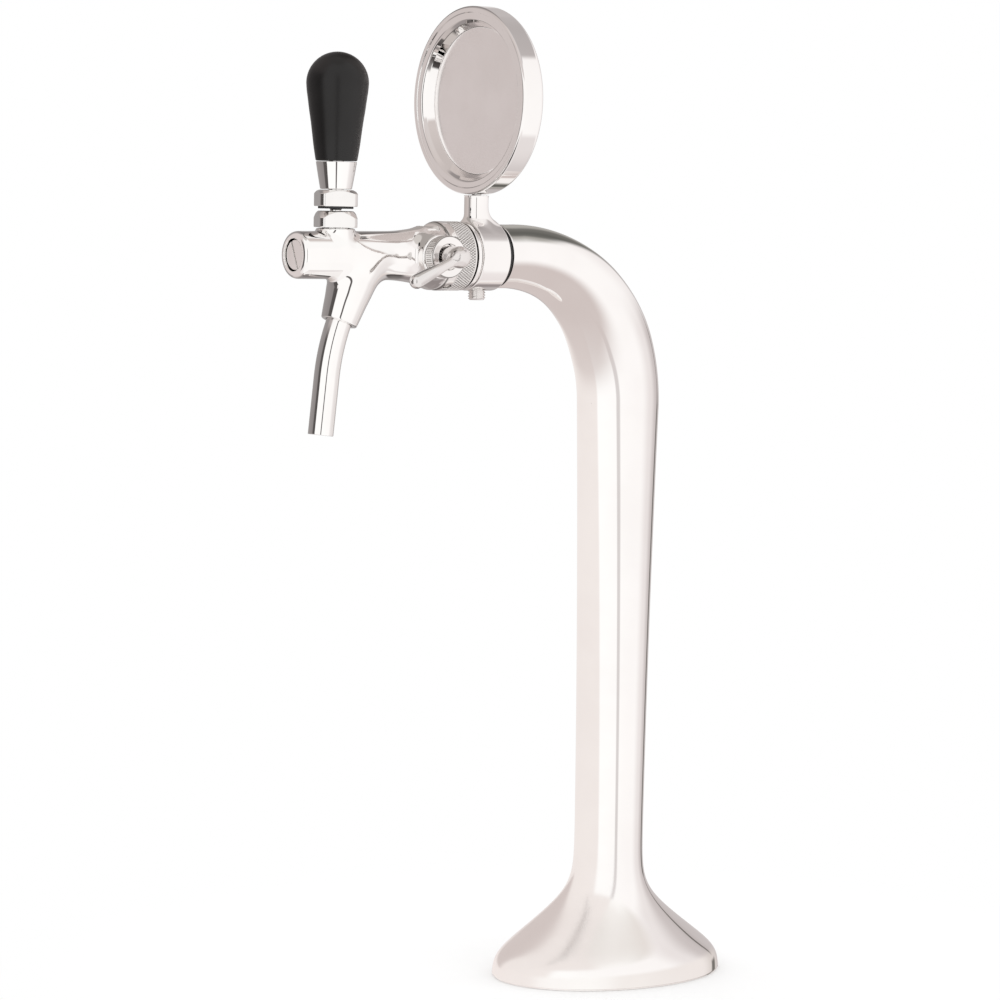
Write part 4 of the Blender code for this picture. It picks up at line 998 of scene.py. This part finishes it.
def spout_path():
    """Straight in the branch, then a bend, then straight to the end."""
    def downward(tilt):
        return np.array([0.0, -sin(radians(tilt)), -cos(radians(tilt))])

    start = np.array([0.0, BRANCH_Y, TAP_Z])
    path = [start + downward(BRANCH_TILT) * t for t in (24.0, 27.0, 30.0, 33.0, 36.0)]
    for i in range(SPOUT_BENDS):
        tilt = BRANCH_TILT - (BRANCH_TILT - SPOUT_TILT) * (i + 0.5) / SPOUT_BENDS
        path.append(path[-1] + downward(tilt) * SPOUT_STEP)
    bend_end = path[-1]
    length = (bend_end[2] - (TAP_Z - SPOUT_END)) / cos(radians(SPOUT_TILT))
    path += [bend_end + downward(SPOUT_TILT) * (length * f) for f in np.linspace(0, 1, 12)[1:]]
    return np.array(path)


def build_spout():
    path = spout_path()
    tangents = np.gradient(path, axis=0)
    tangents /= np.linalg.norm(tangents, axis=1)[:, None]
    stations = list(zip(path, tangents))
    end, ahead = stations.pop()
    # centre, tangent, radius, normal outward, normal along the tube
    rings = [(p, t, SPOUT_R, 1, 0) for p, t in stations]
    edge = SPOUT_EDGE_R
    quarter = [(cos(radians(a)), sin(radians(a))) for a in np.linspace(0, 90, 5)]
    rings += [(end - ahead * edge * (1 - s), ahead, SPOUT_R - edge + edge * c, c, s)
              for c, s in quarter]
    rings += [(end - ahead * edge * (1 - c), ahead, SPOUT_BORE_R + edge - edge * s, -s, c)
              for c, s in quarter]
    rings += [(p, t, SPOUT_BORE_R, -1, 0) for p, t in stations[::-1]]

    angles = 2 * pi * np.arange(96) / 96
    x_way = np.array([1.0, 0, 0])
    verts, normals = [], []
    for centre, tangent, radius, out, along in rings:
        ways = (np.cos(angles)[:, None] * x_way
                + np.sin(angles)[:, None] * np.cross(tangent, x_way))
        verts.append(centre + radius * ways)
        normals.append(out * ways + along * tangent)
    quads, tris = skin(equal_rows(verts), True)
    add_mesh("spout", np.concatenate(verts), quads, tris, np.concatenate(normals), chrome,
             "tower", "spout_tube")


build_spout()

# ================================================================ pieces kept from the CAD
KEPT = [
    (rubber, "base_gasket union_gasket plug_o_ring ball_o_ring spout_o_ring shaft_o_ring "
             "piston_seal_ring piston_guide_ring"),
    (steel, "plate_screw_1 plate_screw_2 plate_screw_3 plate_screw_4 hose_clamp "
            "medallion_stud flow_shaft"),
    (brass, "shank_lock_nut knob_insert valve_piston"),
    (ptfe, "valve_seat ball_seat"),
    (zinc, "base_plate"),
    (hose, "beer_line"),
    (coolant, "coolant_line"),
    (foam, "insulation_sleeve"),
    (acetal, "compensator_cone"),
]
for material, names in KEPT:
    for name in names.split():
        slots = frame["nodes"][name].data.materials
        slots.clear()
        slots.append(material)

# ================================================================ studio
CAMERA_AZIMUTH = 51.222  # degrees from -Y towards +X
DOME_LEVEL = 1.075


def unsampled(data, setting):
    """Leave a surface out of Cycles' light sampling; guards a Blender without that setting."""
    try:
        setattr(data.cycles, setting, "NONE")
    except (AttributeError, TypeError):
        pass


def build_world():
    world = bpy.data.worlds.new("studio")
    bpy.context.scene.world = world
    world.use_nodes = True
    shader = Shader(world.node_tree)
    shader.nodes.clear()
    white = shader.add("ShaderNodeBackground", {"Color": (1.0, 1.0, 1.0, 1.0), "Strength": 1.0})
    shader.add("ShaderNodeOutputWorld", {0: white.outputs[0]})
    unsampled(world, "sampling_method")


build_world()

# The dome's colour depends on the direction of the reflected ray and on the point it left, so
# each part of the chrome reflects its own set of cards.
dome_material = new_material("studio_dome")
dome = Shader(dome_material.node_tree)
dome.nodes.clear()
geometry = dome.add("ShaderNodeNewGeometry", {})
light_path = dome.add("ShaderNodeLightPath", {})
back = geometry.outputs["Incoming"]
ray = dome.add("ShaderNodeVectorMath", {0: back, "Scale": light_path.outputs["Ray Length"]},
               operation="SCALE")
source = dome.add("ShaderNodeVectorMath", {0: geometry.outputs["Position"], 1: ray.outputs[0]},
                  operation="ADD")
# where the ray left the part (m)
from_x, from_y, from_z = dome.split(source.outputs[0])
way_x, way_y, way_z = (dome.math("MULTIPLY", q, -1.0) for q in dome.split(back))
camera_cos, camera_sin = cos(radians(CAMERA_AZIMUTH)), sin(radians(CAMERA_AZIMUTH))
toward = dome.math("ADD", dome.math("MULTIPLY", way_x, camera_sin),
                   dome.math("MULTIPLY", way_y, -camera_cos))
right = dome.math("ADD", dome.math("MULTIPLY", way_x, camera_cos),
                  dome.math("MULTIPLY", way_y, camera_sin))
# direction of the ray (degrees): azimuth is 0 towards the camera and 90 to its right
azimuth = dome.math("DEGREES", dome.math("ARCTAN2", right, toward))
elevation = dome.math("DEGREES", dome.math("ARCSINE", way_z))


def tone(first, *rest):
    """Linear colour from 0-255 sRGB: a grey with its warmth (3 if not given), or R, G, B."""
    if len(rest) < 2:
        warmth = rest[0] if rest else 3
        rest = (first - warmth, first - warmth - 1)
    return tuple(((v / 255 + 0.055) / 1.055) ** 2.4 for v in (first, *rest))


def above(value, start, end):
    return dome.spread(value, start, end, smooth=True)


def invert(mask):
    return dome.math("SUBTRACT", 1.0, mask)


def below(value, start, end):
    return invert(above(value, start, end))


def every(mask, *others):
    for other in others:
        mask = dome.math("MULTIPLY", mask, other)
    return mask


def cards(angle, stops):
    """Blend tones along an angle; a stop is (degrees, *tone)."""
    out = tone(*stops[0][1:])
    for (start, *_), (end, *colour) in zip(stops, stops[1:]):
        out = dome.mix(above(angle, start, end), out, tone(*colour))
    return out


PINK, WARM, FACE = (203, 194, 190), (214, 205, 203), (201, 192, 190)


def tap_cards():
    """Seen by the tap, the handle and the spout."""
    belt = cards(azimuth, [
        (-180, 168), (-120, 150, 5), (-80, 140, 5), (-74, 88, 4), (-54, 80, 4), (-50, 255, 1),
        (0, 255, 1), (2, 92, 4), (8, 92, 4), (10.5, 255, 1), (76, 253, 2), (100, 232, 5),
        (150, 196, 6), (172, 150, 6), (180, 140, 6)])
    high = cards(azimuth, [
        (-180, 120, 4), (-150, 150, 5), (-100, *PINK), (-60, *WARM), (-40, 250, 1),
        (92, 250, 1), (110, *PINK), (134, *PINK), (144, 150, 5), (158, 92, 5), (180, 120, 4)])
    low = cards(azimuth, [
        (-180, 140, 6), (-120, *PINK), (-60, 236, 5), (-30, 250, 2), (104, 252, 2),
        (116, 222, 6), (126, 250, 2), (135, 250, 2), (144, 76, 5), (162, 110, 5),
        (180, 140, 6)])
    out = dome.mix(above(elevation, -34, -27), low, belt)
    out = dome.mix(above(elevation, 21, 35), out, high)
    out = dome.mix(above(elevation, 66, 72), out, tone(200, 196, 192))
    front_face = every(above(azimuth, -128, -118), below(azimuth, -84, -78),
                       below(from_y, -0.1925, -0.1905))
    return dome.mix(front_face, out, tone(*WARM))


def middle_cards(on_arm):
    """Seen by the collar, the nut, the arm and the flow control."""
    belt = cards(azimuth, [
        (-180, 166, 6), (-120, 190, 181, 177), (-84, 198, 189, 186), (-66, 150, 5),
        (-52, 160, 4), (-46, 252, 2), (0, 253, 2), (2, 150, 4), (6, 150, 4), (8, 253, 2),
        (60, 252, 3), (96, 250, 3), (150, 238, 5), (168, 190, 6), (180, 176, 5)])
    high_front = cards(azimuth, [
        (-180, 150, 5), (-100, 190, 6), (-50, 214, 6), (-20, 244, 4), (70, 244, 4),
        (110, 188, 6), (128, 176, 6), (180, 150, 5)])
    high_arm = cards(azimuth, [
        (-180, 98, 98, 92), (-100, 150, 5), (-50, 200, 6), (-20, 250, 2), (80, 250, 2),
        (110, 168, 165, 160), (126, 102, 101, 97), (150, 98, 97, 93), (180, 150, 148, 143)])
    high_bend = cards(azimuth, [(-180, 200, 6), (-60, 214, 6), (-20, 250, 2), (150, 250, 2),
                                (172, 190, 6), (180, 190, 6)])
    low = cards(azimuth, [
        (-180, 143, 8), (-120, 190, 8), (-60, 236, 5), (60, 240, 5), (120, 232, 7),
        (142, 206, 9), (160, 143, 8), (180, 143, 8)])
    high_arm = dome.mix(above(from_y, -0.062, -0.030), high_arm, high_bend)
    high = dome.mix(on_arm, high_front, high_arm)
    low = dome.mix(on_arm, low, tone(203, 192, 188))
    out = dome.mix(above(elevation, -46, -34), low, belt)
    out = dome.mix(above(elevation, 36, 44), out, high)
    left_up = every(invert(on_arm), below(azimuth, -66, -58), above(elevation, 20, 28))
    out = dome.mix(left_up, out, tone(165, 159, 155))
    # the dark card over the arm turns 46 degrees on its way round the bend
    shift = dome.math("MULTIPLY", above(from_y, -0.065, -0.012), 46.0)
    arm_top = every(on_arm, above(dome.math("SUBTRACT", azimuth, shift), 106, 126),
                    above(elevation, 6, 14))
    out = dome.mix(arm_top, out, cards(azimuth, [
        (112, 112, 110, 106), (136, 98, 97, 93), (158, 112, 110, 106), (174, 172, 169, 164)]))
    arm_under = every(on_arm, above(azimuth, 123, 130), below(elevation, -10, -4))
    out = dome.mix(arm_under, out, tone(203, 192, 188))
    arm_ceiling = dome.mix(above(from_y, -0.062, -0.030), tone(150, 148, 142),
                           tone(250, 248, 247))
    ceiling = dome.mix(on_arm, tone(206, 201, 197), arm_ceiling)
    return dome.mix(above(elevation, 62, 70), out, ceiling)


def medallion_cards():
    belt = cards(azimuth, [
        (-180, 214, 5), (-150, 222, 6), (-128, *FACE), (-88, *FACE), (-83, 130, 6),
        (-76, 136, 6), (-69, 214, 6), (-62, 228, 5), (-40, 252, 2), (60, 252, 2),
        (112, 248, 4), (140, 232, 5), (158, 190, 6), (180, 188, 6)])
    high = cards(azimuth, [
        (-180, 150, 6), (-150, 138, 6), (-124, 148, 7), (-100, 196, 187, 184),
        (-40, 206, 197, 194), (20, 214, 6), (60, 196, 6), (110, 182, 6), (140, 178, 6),
        (180, 186, 6)])
    low = cards(azimuth, [
        (-180, 176, 7), (-150, 150, 7), (-120, 150, 7), (-96, 190, 181, 178),
        (-62, 194, 185, 182), (-55, 96, 5), (-32, 62, 5), (-18, 84, 5), (2, 236, 5),
        (96, 226, 6), (140, 205, 7), (180, 176, 7)])
    out = dome.mix(above(elevation, -36, -30), low, belt)
    lift = dome.math("MULTIPLY", above(azimuth, 10, 40), 20.0)
    out = dome.mix(above(dome.math("SUBTRACT", elevation, lift), 18, 23), out, high)
    # the wall round the recess
    wall = cards(elevation, [
        (-76, 196, 188, 184), (-69, 66, 4), (-60, 104, 5), (-51, 58, 4), (-44, 76, 4),
        (-40, 250, 2), (22, 252, 2), (29, 206, 197, 194), (80, 196, 187, 184)])
    wall = dome.mix(above(dome.math("ABSOLUTE", azimuth), 125, 145), wall, tone(150, 145, 141))
    r = dome.radius(from_x, dome.math("SUBTRACT", from_z, MEDAL_Z * MM))
    on_wall = every(above(r, 0.0348, 0.0350), below(r, 0.0371, 0.0376),
                    above(from_y, -0.0937, -0.0932), below(from_y, -0.0876, -0.0870))
    streak = every(above(azimuth, -172, -164), below(azimuth, -136, -126),
                   above(elevation, 4, 8), below(elevation, 24, 31))
    out = dome.mix(streak, out, tone(92, 88, 86))
    return dome.mix(on_wall, out, wall)


def column_cards():
    """Seen by the column and the foot."""
    strips = cards(azimuth, [
        (-180, 190, 8), (-168, 237, 230, 227), (-34, 239, 232, 229), (-26, 255, 1),
        (84, 251, 3), (112, 232, 6), (136, 200, 8), (148, 190, 8), (156, 196, 7),
        (180, 202, 7)])
    seam = every(above(azimuth, 24, 27), below(azimuth, 32, 36), above(from_z, 0.022, 0.032))
    strips = dome.mix(seam, strips, tone(214, 209, 208))
    lip = cards(azimuth, [
        (-180, 200, 8), (-168, 238, 229, 226), (-60, 240, 233, 230), (-30, 250, 247, 245),
        (20, 252, 250, 248), (50, 242, 237, 234), (120, 236, 229, 226), (143, 214, 206, 202),
        (180, 196, 7)])
    on_lip = every(below(from_z, 0.0085, 0.0125), below(elevation, 10, 24))
    strips = dome.mix(on_lip, strips, lip)
    ceiling = dome.mix(above(elevation, 64, 82), tone(240, 236, 233), tone(229, 225, 221))
    right_in = dome.mix(above(elevation, 50, 66), tone(250, 248, 246), ceiling)
    right_out = cards(azimuth, [
        (60, 230, 226, 222), (110, 226, 219, 215), (136, 206, 198, 193), (148, 202, 196, 190),
        (180, 208, 204, 198)])
    top_right = dome.mix(above(azimuth, 50, 100), right_in, right_out)
    top = dome.mix(above(azimuth, 26, 31), tone(237, 230, 227), top_right)
    out = dome.mix(above(elevation, 44, 52), strips, top)
    # dark edge behind on the right, wide below the horizon and narrow above it
    wide = every(below(elevation, -5, 0), above(azimuth, 139, 143), below(azimuth, 149, 154))
    narrow = every(above(elevation, -5, 0), above(azimuth, 144.5, 145.5),
                   below(azimuth, 147.0, 148.0), above(from_z, 0.008, 0.012))
    edge = dome.math("MULTIPLY", dome.math("MAXIMUM", wide, narrow), 0.9)
    out = dome.mix(edge, out, tone(98, 95, 90))
    wedge = every(below(azimuth, -132, -120), above(elevation, 1, 5), below(elevation, 58, 66))
    return dome.mix(wedge, out, tone(206, 195, 192))


def paint_dome():
    """Choose the cards by the place the ray left; other rays meet plain white."""
    on_arm = above(from_y, -0.0795, -0.0785)
    on_tap = below(from_y, -0.1385, -0.1345)
    on_medallion = every(above(from_z, 0.3846, 0.3856), above(from_y, -0.125, -0.12))
    on_column = every(below(from_z, 0.318, 0.343), above(from_y, -0.105, -0.095))
    colour = dome.mix(on_tap, middle_cards(on_arm), tap_cards())
    colour = dome.mix(on_medallion, colour, medallion_cards())
    colour = dome.mix(on_column, colour, column_cards())
    under_bend = every(on_arm, above(from_z, 0.228, 0.338), below(from_z, 0.3846, 0.3856),
                       below(elevation, -30, -6))
    colour = dome.mix(under_bend, colour, tone(206, 195, 192))
    mirrored = dome.math("MAXIMUM", light_path.outputs["Is Glossy Ray"],
                         light_path.outputs["Is Singular Ray"])
    colour = dome.mix(mirrored, (1.0, 1.0, 1.0), colour)
    glow = dome.add("ShaderNodeEmission", {"Color": colour, "Strength": DOME_LEVEL})
    dome.add("ShaderNodeOutputMaterial", {0: glow.outputs[0]})
    unsampled(dome_material, "emission_sampling")


def stage_mesh(name, verts, faces):
    mesh = bpy.data.meshes.new(name)
    mesh.from_pydata(verts, [], faces)
    obj = bpy.data.objects.new(name, mesh)
    bpy.context.scene.collection.objects.link(obj)
    return obj


def build_dome(radius=12.0, around=48, rows=24):
    verts, faces = [], []
    for i in range(rows + 1):
        polar = pi * i / rows
        for k in range(around):
            t = 2 * pi * k / around
            verts.append((radius * sin(polar) * cos(t), radius * sin(polar) * sin(t),
                          radius * cos(polar)))
    for i in range(rows):
        a, b = i * around, (i + 1) * around
        for k in range(around):
            after = (k + 1) % around
            faces.append((a + k, a + after, b + after, b + k))
    obj = stage_mesh("dome", verts, faces)
    obj.data.validate()
    obj.data.materials.append(dome_material)
    obj.visible_camera = False
    obj.visible_shadow = False


def build_floor(half=6.0):
    """Pale floor: the soft shade round the foot fades into plain white further out."""
    floor = stage_mesh("floor", [(-half, -half, 0), (half, -half, 0), (half, half, 0),
                                 (-half, half, 0)], [(0, 1, 2, 3)])
    material = new_material("pale_floor")
    shader, surface, coords = opened(material)
    mottle = shader.noise(coords, scale=9.0, detail=4.0, rough=0.6)
    shader.fill(surface, {
        "Base Color": shader.mix(shader.spread(mottle, 0.3, 0.7), (0.965, 0.965, 0.965),
                                 (0.985, 0.985, 0.985)),
        "Roughness": shader.spread(mottle, 0.3, 0.7, 0.8, 0.95), "Specular IOR Level": 0.0})
    distance = shader.add("ShaderNodeVectorMath", {0: coords}, operation="LENGTH")
    fade = shader.spread(distance.outputs["Value"], 0.10, 0.30, smooth=True)
    white = shader.add("ShaderNodeEmission", {"Color": (1.0, 1.0, 1.0, 1.0)})
    blend = shader.add("ShaderNodeMixShader",
                       {0: fade, 1: surface.outputs[0], 2: white.outputs[0]})
    shader.fill(shader.nodes["Material Output"], {0: blend.outputs[0]})
    unsampled(material, "emission_sampling")
    floor.data.materials.append(material)
    floor.visible_glossy = False


def build_camera(distance, height, yaw, pitch, roll, lens):
    """Camera at CAMERA_AZIMUTH; yaw, pitch and roll (degrees) turn it from facing the axis."""
    azimuth, yaw, pitch, roll = (radians(a) for a in (CAMERA_AZIMUTH, yaw, pitch, roll))
    place = Vector((distance * sin(azimuth), -distance * cos(azimuth), height))
    heading = azimuth + yaw
    ahead = Vector((-sin(heading) * cos(pitch), cos(heading) * cos(pitch), sin(pitch)))
    level_right = ahead.cross(Vector((0, 0, 1))).normalized()
    level_up = level_right.cross(ahead)
    right = cos(roll) * level_right + sin(roll) * level_up
    up = -sin(roll) * level_right + cos(roll) * level_up
    data = bpy.data.cameras.new("camera")
    data.sensor_width = 36.0
    data.lens = lens
    data.clip_start, data.clip_end = 0.05, 50.0
    camera = bpy.data.objects.new("camera", data)
    bpy.context.scene.collection.objects.link(camera)
    rows = [(right[i], up[i], -ahead[i], place[i]) for i in range(3)]
    camera.matrix_world = Matrix((*rows, (0, 0, 0, 1)))
    bpy.context.scene.camera = camera


paint_dome()
build_dome()
build_floor()
build_camera(distance=1.850, height=0.3862, yaw=1.781, pitch=-4.658, roll=1.101, lens=134.5068)
bpy.context.scene.view_settings.view_transform = "Standard"
bpy.context.scene.view_settings.look = "None"
